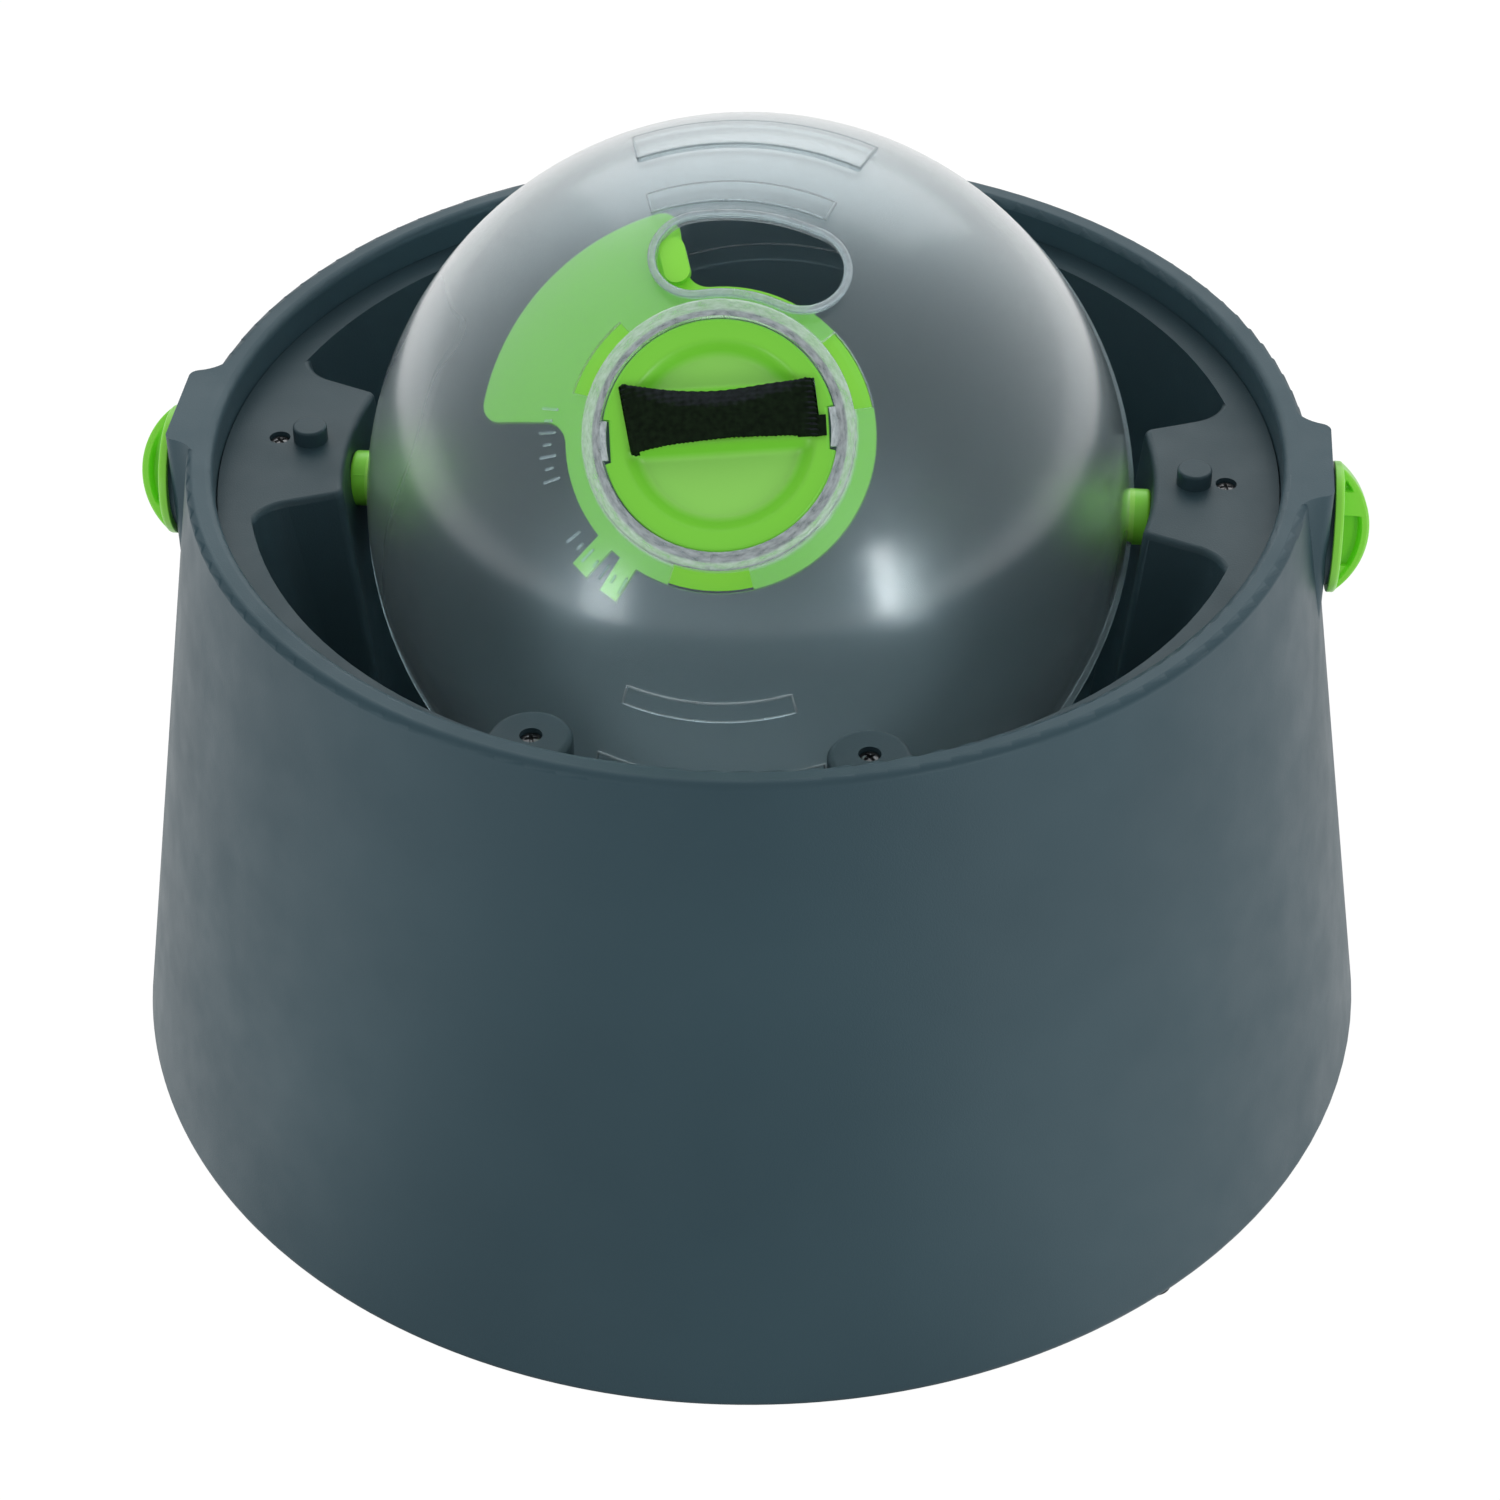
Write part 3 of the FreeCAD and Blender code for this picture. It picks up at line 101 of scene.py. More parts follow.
def place(tree):
    """Object coordinates: the CAD frame, in metres."""
    return add(tree, "TexCoord").outputs["Object"]


def maths(tree, operation, *values):
    item = add(tree, "Math", operation=operation)
    return feed(tree, item, dict(enumerate(values))).outputs[0]


def vectors(tree, operation, *values):
    item = add(tree, "VectorMath", operation=operation)
    feed(tree, item, dict(enumerate(values)))
    return item.outputs["Value" if operation in ("DOT_PRODUCT", "LENGTH") else "Vector"]


def noise(tree, scale, detail=4.0, roughness=0.5, where=None):
    item = add(tree, "TexNoise")
    where = place(tree) if where is None else where
    feed(tree, item, {"Vector": where, "Scale": scale, "Detail": detail, "Roughness": roughness})
    return item.outputs["Fac"]


def span(tree, value, low, high, start=0.0, end=1.0, ease="LINEAR"):
    """Runs from low to high while the value goes from start to end."""
    item = add(tree, "MapRange", interpolation_type=ease)
    feed(tree, item, {"Value": value, "From Min": start, "From Max": end,
                      "To Min": low, "To Max": high})
    return item.outputs["Result"]


def uneven(tree, value, low, high):
    """A noise's middle range, spread from low to high."""
    return span(tree, value, low, high, NOISE_LOW, NOISE_HIGH)


def mixed(tree, fac, first, second):
    """A colour between two sockets or plain colours."""
    item = add(tree, "Mix", data_type="RGBA")
    feed(tree, item, {MIX_FACTOR: fac, MIX_FIRST: first, MIX_SECOND: second})
    return item.outputs[MIX_COLOUR]


def cloudy(tree, fac, dark, light):
    """A colour between two, over a noise's middle range."""
    ramp = add(tree, "ValToRGB")
    first, last = ramp.color_ramp.elements
    first.color, last.color = (*dark, 1), (*light, 1)
    first.position, last.position = NOISE_LOW, NOISE_HIGH
    return feed(tree, ramp, {"Fac": fac}).outputs["Color"]


def bump(tree, height, strength, distance):
    item = add(tree, "Bump")
    feed(tree, item, {"Height": height, "Strength": strength, "Distance": distance})
    return item.outputs["Normal"]


def from_centre(tree):
    return vectors(tree, "SUBTRACT", place(tree), BALL_CENTRE)


def above_centre(tree, direction):
    """Distance from the ball's centre along a direction, in metres."""
    return vectors(tree, "DOT_PRODUCT", from_centre(tree), direction)


def linear(r, g, b):
    def one(v):
        v /= 255.0
        return v / 12.92 if v <= 0.04045 else ((v + 0.055) / 1.055) ** 2.4
    return (one(r), one(g), one(b))


# Opaque plastics: each colour is a darker and a lighter shade, and each roughness a low and a high

CASING_GREYS = (linear(54, 78, 88), linear(59, 84, 94))
# the bowl is the casing's plastic; its darker copy of the grey is painted shade
BOWL_SHADED_GREYS = (linear(44, 64, 72), linear(49, 70, 78))
PLAIN_GREENS = (linear(134, 229, 65), linear(140, 234, 72))
# the hubs and the shutter get lighter copies of the green: painted light where they are seen
# through the shell
HUB_LIT_GREENS = (linear(176, 252, 104), linear(182, 254, 112))
SHUTTER_LIT_GREENS = (linear(146, 240, 68), linear(152, 245, 76))
PIN_GREENS = (linear(146, 240, 70), linear(152, 245, 78))
# painted light on green parts: a lighter green for the sheen on the cap's dish floors, a darker
# green for shade in the wings' pockets
DISH_SHEEN_GREEN, POCKET_SHADE_GREEN = linear(160, 238, 106), linear(134, 230, 52)
FOOT_BLACKS = ((0.012, 0.012, 0.013), (0.022, 0.022, 0.023))
SEAL_GREYS = (linear(50, 68, 74), linear(78, 98, 105))
COOL_SHINE = (0.80, 0.95, 1.0)
CLOUD_SCALE, GLOSS_SCALE, GRAIN_DEPTH = 14.0, 60.0, 0.0002
FLOOR_HEIGHTS = (0.0788, 0.0800)  # the painted sheen on the dishes' floors fades out between these
POCKET_DEPTHS = (0.0012, 0.0028)  # the painted shade in the pockets fades out between these


def moulded(name, shades, rough, grain_scale, grain, coat=0.0, tint=None, shine=(1, 1, 1)):
    """Moulded plastic: slight cloudiness in its colour, a fine eroded grain, uneven gloss."""
    mat, tree, shader, _ = new_material(name)
    colour = cloudy(tree, noise(tree, CLOUD_SCALE, detail=3.0), *shades)
    # a tint, where given, paints light or shade over the colour: a lighter sheen or a darker shade
    if tint:
        where, other = tint(tree)
        colour = mixed(tree, where, colour, other)
    patch = noise(tree, GLOSS_SCALE, detail=3.0, roughness=0.6)
    fine = noise(tree, grain_scale, detail=2.0, roughness=0.6)
    feed(tree, shader, {
        "Base Color": colour,
        "Roughness": uneven(tree, patch, *rough),
        "Normal": bump(tree, fine, strength=grain, distance=GRAIN_DEPTH),
        "Specular Tint": shine,
        "Coat Weight": coat,
        "Coat Roughness": 0.25,
    })
    return mat


def grey_plastic(name, shades):
    return moulded(name, shades, rough=(0.40, 0.50), grain_scale=2600.0, grain=0.25,
                   shine=COOL_SHINE)


def green_plastic(name, shades, tint=None):
    return moulded(name, shades, rough=(0.30, 0.38), grain_scale=1500.0, grain=0.05, coat=0.15,
                   tint=tint)


def dish_floor_sheen(tree):
    """The dishes' floors get a painted sheen: a lighter green than the rest of the cap."""
    height = above_centre(tree, NECK_AXIS)
    return span(tree, height, 1.0, 0.0, *FLOOR_HEIGHTS), DISH_SHEEN_GREEN


def shaded_pocket(across):
    """The pockets of a pin's wing get painted shade: a darker green than its border."""
    def tint(tree):
        off = maths(tree, "ABSOLUTE", above_centre(tree, across))
        return span(tree, off, 1.0, 0.0, *POCKET_DEPTHS), POCKET_SHADE_GREEN
    return tint


grey = grey_plastic("grey_plastic", CASING_GREYS)
shaded_bowl_grey = grey_plastic("shaded_bowl_grey", BOWL_SHADED_GREYS)
green = green_plastic("green_plastic", PLAIN_GREENS)
# the cap's dish floors get a painted sheen
green_cap = green_plastic("green_cap", PLAIN_GREENS, dish_floor_sheen)
lit_hub_green = green_plastic("lit_hub_green", HUB_LIT_GREENS)
lit_shutter_green = green_plastic("lit_shutter_green", SHUTTER_LIT_GREENS)
green_collar = green_plastic("green_collar", PIN_GREENS)
green_pins = {}
# each wing's pockets get painted shade
for name, side, lean in (("pin_right", 1, RIGHT_LEAN), ("pin_left", -1, LEFT_LEAN)):
    pocket = shaded_pocket((0, side * math.cos(lean), math.sin(lean)))
    green_pins[name] = green_plastic("green_" + name, PIN_GREENS, pocket)
rubber = moulded("foot_rubber", FOOT_BLACKS, rough=(0.65, 0.8), grain_scale=900.0, grain=0.4)
seal_rubber = moulded("seal_rubber", SEAL_GREYS, rough=(0.3, 0.45), grain_scale=900.0, grain=0.1)


# Clear plastic

CLEAR_IOR = 1.46
# the ring's colour is whiter than the shell's: painted glints on the neck ring
SHELL_COLOUR, RING_GLINT_COLOUR = (0.835, 0.945, 0.985), (0.80, 0.87, 0.90)
THROUGH_COLOUR, CLEAR_SHINE = (0.88, 0.91, 0.91), (0.75, 0.93, 1.0)
EDGE_COLOURS = ((0.66, 0.76, 0.80), (0.84, 0.91, 0.94))
RING_RADII = (0.0279, 0.0283)  # the ring ends between these, out from the neck's axis
RING_HEIGHTS = (0.0775, 0.0800)  # and starts between these, up from the ball's centre
STREAKS_ROUND, STREAKS_OUT = 9.0, 1100.0


def neck_ring(tree):
    """1 on the ring round the neck and 0 elsewhere, and coordinates that run round it."""
    far = vectors(tree, "LENGTH", vectors(tree, "CROSS_PRODUCT", from_centre(tree), NECK_AXIS))
    near = span(tree, far, 1.0, 0.0, *RING_RADII)
    high = span(tree, above_centre(tree, NECK_AXIS), 0.0, 1.0, *RING_HEIGHTS)
    angle = maths(tree, "ARCTAN2", above_centre(tree, (1, 0, 0)), above_centre(tree, BAND_ACROSS))
    where = feed(tree, add(tree, "CombineXYZ"), {
        0: maths(tree, "MULTIPLY", angle, STREAKS_ROUND),
        1: maths(tree, "MULTIPLY", far, STREAKS_OUT),
    })
    return maths(tree, "MULTIPLY", near, high), where.outputs[0]


def clear_plastic():
    mat, tree, shader, surface = new_material("clear_plastic")
    # the thick ring of the neck gets painted glints: a whiter colour than the thin shell, with
    # streaks where less light goes through
    ring, round_neck = neck_ring(tree)
    streaks = noise(tree, scale=1.0, detail=3.0, roughness=0.6, where=round_neck)
    ring_glints = maths(tree, "MULTIPLY", ring, span(tree, streaks, 0.45, 1.0, start=0.35, end=0.65))
    feed(tree, shader, {
        "IOR": CLEAR_IOR,
        "Specular Tint": CLEAR_SHINE,
        "Transmission Weight": span(tree, ring_glints, 0.99, 0.45),
        "Base Color": mixed(tree, ring, SHELL_COLOUR, RING_GLINT_COLOUR),
        "Roughness": uneven(tree, noise(tree, scale=9.0, detail=2.0), 0.23, 0.29),
        "Normal": bump(tree, noise(tree, scale=45.0, detail=1.5, roughness=0.4),
                       strength=0.04, distance=0.0008),
        "Coat Weight": 0.8,
        "Coat Roughness": 0.16,
    })
    # light passes through the thin shell to what lies inside
    rays = add(tree, "LightPath").outputs
    through = feed(tree, add(tree, "BsdfTransparent"), {"Color": THROUGH_COLOUR})
    passing = maths(tree, "MAXIMUM", rays["Is Shadow Ray"], rays["Is Diffuse Ray"])
    mix = feed(tree, add(tree, "MixShader"),
               {0: passing, 1: shader.outputs[0], 2: through.outputs[0]})
    tree.links.new(mix.outputs[0], surface)
    return mat


def clear_edge():
    """Rounded edges of the shell, which gather light and look whiter than its walls."""
    mat, tree, shader, _ = new_material("clear_edge")
    patch = noise(tree, scale=160.0, detail=3.0, roughness=0.6)
    feed(tree, shader, {
        "IOR": CLEAR_IOR,
        "Base Color": cloudy(tree, patch, *EDGE_COLOURS),
        "Transmission Weight": uneven(tree, patch, 0.50, 0.80),
        "Roughness": uneven(tree, noise(tree, scale=300.0), 0.12, 0.25),
    })
    return mat


# Steel and webbing

# the steel is darker than bare steel: painted shade of the sunken screw holes
STEEL_IN_SHADE = ((0.14, 0.145, 0.15), (0.30, 0.31, 0.32))
WEBBING_FACE = (linear(10, 24, 10), linear(22, 38, 20))
WEBBING_SHEEN = (linear(28, 33, 36), linear(42, 48, 52))


def screw_steel():
    mat, tree, shader, _ = new_material("screw_steel")
    cloud = noise(tree, scale=400.0, detail=3.0)
    feed(tree, shader, {
        "Metallic": 1.0,
        "Base Color": cloudy(tree, cloud, *STEEL_IN_SHADE),
        "Roughness": uneven(tree, cloud, 0.25, 0.45),
    })
    return mat


def woven():
    """Near-black webbing with fine threads, and a painted sheen: a lighter, bluer black where the
    band faces up.
    """
    mat, tree, shader, _ = new_material("webbing")
    # the painted sheen grows as the surface faces up across the band
    facing = add(tree, "TexCoord").outputs["Normal"]
    upward = vectors(tree, "DOT_PRODUCT", facing, BAND_ACROSS)
    lift = span(tree, upward, 0.0, 1.0, start=0.15, end=0.5)
    face, sheen_colour = (cloudy(tree, noise(tree, scale=900.0, detail=3.0), *shades)
                   for shades in (WEBBING_FACE, WEBBING_SHEEN))
    feed(tree, shader, {
        "Base Color": mixed(tree, lift, face, sheen_colour),
        "Specular IOR Level": 0.15,
        "Roughness": uneven(tree, noise(tree, scale=1800.0), 0.8, 0.95),
        "Normal": bump(tree, noise(tree, scale=2600.0, detail=2.0, roughness=0.6),
                       strength=0.5, distance=GRAIN_DEPTH),
    })
    return mat


clear = clear_plastic()
edge_plastic = clear_edge()
steel = screw_steel()
webbing = woven()

SLOT_MATERIALS = {
    "grey_plastic": grey,
    "green_plastic": green,
    "clear_plastic": clear,
    "screw_steel": steel,
    "foot_rubber": rubber,
    "seal_rubber": seal_rubber,
    "webbing": webbing,
}

# painted light and shade: pieces seen through the clear shell get a lighter copy of the green, and
# the bowl a darker copy of the grey
LIT_AND_SHADED_COPIES = {
    "hub_right": lit_hub_green,
    "hub_left": lit_hub_green,
    "shutter": lit_shutter_green,
    "inner_bowl": shaded_bowl_grey,
}

for part in frame["record"]["subparts"]:
    finish = LIT_AND_SHADED_COPIES.get(part["node"], SLOT_MATERIALS[part["material_slot"]])
    materials = nodes[part["node"]].data.materials
    materials.clear()
    materials.append(finish)


# Detailed pieces, in millimetres until they are handed over

CAP_TURN = math.radians(6.5)
IN_BALL = Matrix.Translation((0, 0, AXLE)) @ Matrix.Rotation(NECK_TILT, 4, "X")
IN_CAP = IN_BALL @ Matrix.Rotation(CAP_TURN, 4, "Z")


def smooth(t):
    t = min(1.0, max(0.0, t))
    return t * t * (3 - 2 * t)


def beside_axle(side, lean):
    """Places a form whose X runs along the axle, outward on one side, and turns it by lean."""
    facing = Matrix.Identity(4) if side > 0 else Matrix.Rotation(math.pi, 4, "Z")
    return Matrix.Translation((0, 0, AXLE)) @ facing @ Matrix.Rotation(lean, 4, "X")


def hand_over(name, form, where, material, body, node_name, sharp):
    """Writes a form, placed by the matrix where, as a piece in metres that rides on a body and
    stands in for a CAD node, if one is named; edges over sharp degrees stay sharp."""
    bmesh.ops.recalc_face_normals(form, faces=form.faces)
    form.transform(Matrix.Scale(MM, 4) @ where)
    mesh = bpy.data.meshes.new(name)
    form.to_mesh(mesh)
    form.free()
    mesh.shade_smooth()
    mesh.set_sharp_from_angle(angle=math.radians(sharp))
    mesh.materials.append(material)
    piece = bpy.data.objects.new(name, mesh)
    bpy.context.scene.collection.objects.link(piece)
    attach(piece, body)
    if node_name:
        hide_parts(node_name)
    return piece


def skin(form, rows, close_rows=False, close_columns=True, ends=False):
    """Quads between rows of vertices, and faces on the first and last row if ends is set."""
    count = len(rows[0])
    pairs = list(zip(rows, rows[1:]))
    if close_rows:
        pairs.append((rows[-1], rows[0]))
    for a, b in pairs:
        for i in range(count if close_columns else count - 1):
            j = (i + 1) % count
            form.faces.new((a[i], a[j], b[j], b[i]))
    if ends:
        form.faces.new(rows[0])
        form.faces.new(rows[-1])


def point_cap(form, row, point):
    """Triangles from a row to a point."""
    tip = form.verts.new(point)
    for i in range(len(row)):
        form.faces.new((row[i], row[(i + 1) % len(row)], tip))


def turned(form, profile, segments, axis="Z", height=None):
    """A closed solid of revolution; profile runs from the axis to the axis, as (radius, level).
    height, if given, moves a point's level by where it is."""
    def spot(x, y, radius, level):
        z = level if height is None else height(x, y, radius, level)
        return (x, y, z) if axis == "Z" else (z, x, y)

    rows = []
    for radius, level in profile[1:-1]:
        row = []
        for k in range(segments):
            angle = 2 * math.pi * k / segments
            x, y = radius * math.cos(angle), radius * math.sin(angle)
            row.append(form.verts.new(spot(x, y, radius, level)))
        rows.append(row)
    skin(form, rows)
    point_cap(form, rows[0], spot(0.0, 0.0, 0.0, profile[0][1]))
    point_cap(form, rows[-1], spot(0.0, 0.0, 0.0, profile[-1][1]))


def rounded(points, steps=5):
    """A profile whose points with a third number get an arc of that radius."""
    out = []
    for i, point in enumerate(points):
        if len(point) == 2:
            out.append(point)
            continue
        here = Vector(point[:2])
        before = (Vector(points[i - 1][:2]) - here).normalized()
        after = (Vector(points[i + 1][:2]) - here).normalized()
        half = before.angle(after) / 2
        reach = point[2] / math.tan(half)
        start, end = here + before * reach, here + after * reach
        middle = here + (before + after).normalized() * (point[2] / math.sin(half))
        first, last = start - middle, end - middle
        for k in range(steps + 1):
            spoke = first.lerp(last, k / steps).normalized() * point[2]
            out.append(tuple(middle + spoke))
    return out


# Cap: two shallow dishes with soft walls, on either side of the bar that the webbing goes round

CAP_TOP, CAP_SEAT, CAP_RIM, CAP_PLUG = 82.0, 79.73, 23.9, 22.2
PLUG_END, PLUG_INNER, CAP_ROOF = 74.5, 20.6, 76.8
DISH_DEPTH, DISH_RADIUS, DISH_WALL = 3.4, 20.2, 4.4
BAR_LOW, BAR_HIGH, BAR_SLOPE_LOW, BAR_SLOPE_HIGH = -0.9, 8.0, 3.6, 2.8
NOTCH_ANGLE, NOTCH_FLOOR, NOTCH_STEP, NOTCH_CLEAR = 11.2, 22.3, 0.05, 0.4
# the flange's edge, rounded at the top: how far in and how far down
FLANGE_EDGE = ((0, CAP_TOP - CAP_SEAT), (0, 0.7), (0.07, 0.42), (0.21, 0.21), (0.42, 0.07),
               (0.7, 0.0))
FLANGE_INSET, CAP_FACE, CAP_RINGS, CAP_STEP, CAP_SHARP = 0.75, 21.5, 60, 2.0, 40
SLOT_WIDTH, SLOT_MARGIN, SLOT_PAST = 1.75, 0.15, 2


def cap_drop(x, y):
    ring = smooth((DISH_RADIUS - math.hypot(x, y)) / DISH_WALL)
    low = smooth((BAR_LOW - y) / BAR_SLOPE_LOW)
    high = smooth((y - BAR_HIGH) / BAR_SLOPE_HIGH)
    return DISH_DEPTH * ring * max(low, high)


def cap_angles():
    """Even steps round the cap, with a pair close together at each edge of a notch."""
    edges = [(middle + side * (NOTCH_ANGLE + step)) % 360.0
             for middle in (0.0, 180.0) for side in (-1, 1) for step in (-NOTCH_STEP, NOTCH_STEP)]
    angles = [a for a in (CAP_STEP * k for k in range(int(360 / CAP_STEP)))
              if all(abs((a - e + 180) % 360 - 180) > NOTCH_CLEAR for e in edges)]
    return sorted(angles + edges)


def cap_rim(angle):
    off = min(abs((angle + 180) % 360 - 180), abs((angle % 360) - 180))
    return NOTCH_FLOOR / math.cos(math.radians(off)) if off < NOTCH_ANGLE else CAP_RIM


def make_cap():
    form = bmesh.new()
    angles = cap_angles()
    rows = []

    def add_row(radii, height=None):
        """A ring of vertices, one radius per angle; without a height it lies on the dishes."""
        row = []
        for a, radius in zip(angles, radii):
            x, y = radius * math.cos(math.radians(a)), radius * math.sin(math.radians(a))
            z = CAP_TOP - cap_drop(x, y) if height is None else height
            row.append(form.verts.new((x, y, z)))
        rows.append(row)

    plug = rounded([(0, CAP_ROOF), (PLUG_INNER, CAP_ROOF, 1.0), (PLUG_INNER, PLUG_END, 0.3),
                    (CAP_PLUG, PLUG_END, 0.4), (CAP_PLUG, CAP_SEAT)], steps=3)[1:]
    for radius, height in plug:
        add_row([radius] * len(angles), height)
    for inset, drop in FLANGE_EDGE:
        add_row([cap_rim(a) - inset for a in angles], CAP_TOP - drop)
    add_row([cap_rim(a) - FLANGE_INSET for a in angles])
    for k in range(1, CAP_RINGS):
        add_row([CAP_FACE * (1 - k / CAP_RINGS)] * len(angles))
    skin(form, rows)
    point_cap(form, rows[0], (0, 0, CAP_ROOF))
    point_cap(form, rows[-1], (0, 0, CAP_TOP - cap_drop(0, 0)))
    cut_slots(hand_over("cap_moulding", form, IN_CAP, green_cap, "cap", "cap",
                        sharp=CAP_SHARP))


def cut_slots(piece):
    """Cuts the two slots that the webbing goes down through."""
    for side in (-1, 1):
        box = bmesh.new()
        corners = []
        edge = down_line(side, 0)
        for y in (along(LOWER_EDGE, edge) + SLOT_MARGIN, along(UPPER_EDGE, edge) - SLOT_MARGIN):
            outer = side * down_line(side, y) + SLOT_MARGIN
            for x in (outer - SLOT_WIDTH, outer):
                for z in (PLUG_END - SLOT_PAST, CAP_TOP + SLOT_PAST):
                    corners.append(box.verts.new((side * x, y, z)))
        bmesh.ops.convex_hull(box, input=corners)
        bmesh.ops.recalc_face_normals(box, faces=box.faces)
        box.transform(Matrix.Scale(MM, 4) @ IN_CAP)
        mesh = bpy.data.meshes.new("slot_cutter")
        box.to_mesh(mesh)
        box.free()
        cutter = bpy.data.objects.new("slot_cutter", mesh)
        bpy.context.scene.collection.objects.link(cutter)
        cut = piece.modifiers.new("slot", "BOOLEAN")
        cut.object = cutter
        cut.operation = "DIFFERENCE"
        cut.solver = "EXACT"
        bpy.context.view_layer.update()
        cut_piece = piece.evaluated_get(bpy.context.evaluated_depsgraph_get())
        result = bpy.data.meshes.new_from_object(cut_piece)
        piece.modifiers.clear()
        piece.data = result
        bpy.data.objects.remove(cutter)
    piece.data.set_sharp_from_angle(angle=math.radians(CAP_SHARP))


# Webbing: a loop over the cap's bar, down both slots and under it

UPPER_EDGE = ((-20.6, 11.75), (-13.7, 10.2), (-8.9, 9.3), (-4.1, 8.75), (0.8, 8.6), (5.65, 8.9),
              (10.5, 9.4), (15.4, 9.9), (20.8, 10.6))
TURNED_LINE = ((-20.6, 8.4), (-13.9, 7.6), (-9.05, 6.2), (-4.2, 5.6), (0.6, 5.5), (5.5, 5.8),
               (10.4, 7.0), (15.3, 8.0), (20.8, 8.4))
LOWER_EDGE = ((-20.6, -3.3), (-17.3, -3.0), (-11.1, -2.1), (-4.6, -1.7), (1.9, -1.4), (8.35, -1.4),
              (14.8, -1.5), (20.8, -1.8))
# where the webbing goes down on each side: how far out at the line's upper end, the height of that
# end, and how far the line leans out over which height
DOWN_LINES = {-1: (19.9, 11.8, -2.0, 14.6), 1: (19.75, 10.7, 0.9, 12.0)}
WEB_THICK, WEB_CORNER, WEB_UNDER, WEB_INSET = 1.4, 0.95, 75.85, 0.75
WEB_OVER, WEB_ARCH, WEB_FALL, WEB_SPAN = 82.95, 2.5, 2.3, 19.0
WEB_LOW, WEB_WIDTH = -3.0, 14.5  # across the cap, where it goes down
UNDER_LOW, UNDER_WIDTH = -3.4, 12.0  # and where it runs below
TURN_START, TURN_CURVE, TURN_END_SHARE = 0.5, 1.3, 0.35
WEB_STAGES = (("over", 150), ("right_top", 7), ("right_down", 16), ("right_bottom", 6),
              ("under", 60), ("left_bottom", 6), ("left_down", 16), ("left_top", 7))
WEB_COLUMNS = 44
RIB_PITCH, RIB_HEIGHT, BUNDLE_PITCH, BUNDLE_FACE, BUNDLE_FOLD = 1.9, 0.09, 1.1, 0.03, 0.24
FOLD_START, FOLD_RUN = 17.2, 1.8
EDGE_ROUND, EDGE_THIN, FRAY, FRAY_PITCH = 0.6, 0.25, 0.07, 0.95
TAIL_STEPS, TAIL_X, TAIL_Y, TAIL_LEVEL, TAIL_UNDER = 12, (16.0, 21.9), (-1.6, 2.6), 82.95, 82.12


def along(points, x):
    """Smooth reading between listed points."""
    if x <= points[0][0]:
        return points[0][1]
    for i in range(len(points) - 1):
        (xa, ya), (xb, yb) = points[i], points[i + 1]
        if x <= xb:
            before = points[max(0, i - 1)]
            after = points[min(len(points) - 1, i + 2)]
            slope_a = (yb - before[1]) / (xb - before[0])
            slope_b = (after[1] - ya) / (after[0] - xa)
            width = xb - xa
            t = (x - xa) / width
            return ((2 * t ** 3 - 3 * t ** 2 + 1) * ya + (t ** 3 - 2 * t ** 2 + t) * width * slope_a
                    + (3 * t ** 2 - 2 * t ** 3) * yb + (t ** 3 - t ** 2) * width * slope_b)
    return points[-1][1]


def down_line(side, y):
    reach, upper_end, lean, height = DOWN_LINES[side]
    return side * (reach + (upper_end - y) / height * lean)


def web_point(stage, t, share):
    """A point of the band's middle surface: stage of the loop, way along it, share of its width."""
    guess = WEB_LOW + WEB_WIDTH * share
    left, right = down_line(-1, guess) + WEB_INSET, down_line(1, guess) - WEB_INSET
    straight_left, straight_right = left + WEB_CORNER, right - WEB_CORNER

    def across(x, depth):
        low, high = along(LOWER_EDGE, x), along(UPPER_EDGE, x)
        y = low + (high - low) * share
        return y + (UNDER_LOW + UNDER_WIDTH * share - y) * smooth(depth)

    def top(x):
        y = across(x, 0)
        line, high = along(TURNED_LINE, x), along(UPPER_EDGE, x)
        middle = max(0.0, 1 - (x / WEB_SPAN) ** 2)
        turn = max(0.0, (y - line + TURN_START) / (high - line + TURN_START))
        fall = WEB_FALL * (TURN_END_SHARE + (1 - TURN_END_SHARE) * middle) * middle ** 0.5
        return WEB_OVER + WEB_ARCH * middle - fall * turn ** TURN_CURVE

    if stage == "over":
        x = straight_left + (straight_right - straight_left) * t
        return Vector((x, across(x, 0), top(x)))
    if stage == "under":
        x = straight_right + (straight_left - straight_right) * t
        return Vector((x, across(x, 1), WEB_UNDER))
    side, edge = (1, right) if stage.startswith("right") else (-1, left)
    high = top(edge - side * WEB_CORNER)
    way = t if side > 0 else 1 - t
    angle = way * math.pi / 2
    if stage.endswith("top"):
        x = edge - side * WEB_CORNER * (1 - math.sin(angle))
        return Vector((x, across(edge, 0), high - WEB_CORNER * (1 - math.cos(angle))))
    if stage.endswith("down"):
        z = high - WEB_CORNER + (WEB_UNDER + WEB_CORNER - high + WEB_CORNER) * way
        return Vector((edge, across(edge, way), z))
    x = edge - side * WEB_CORNER * (1 - math.cos(angle))
    return Vector((x, across(edge, 1), WEB_UNDER + WEB_CORNER * (1 - math.sin(angle))))


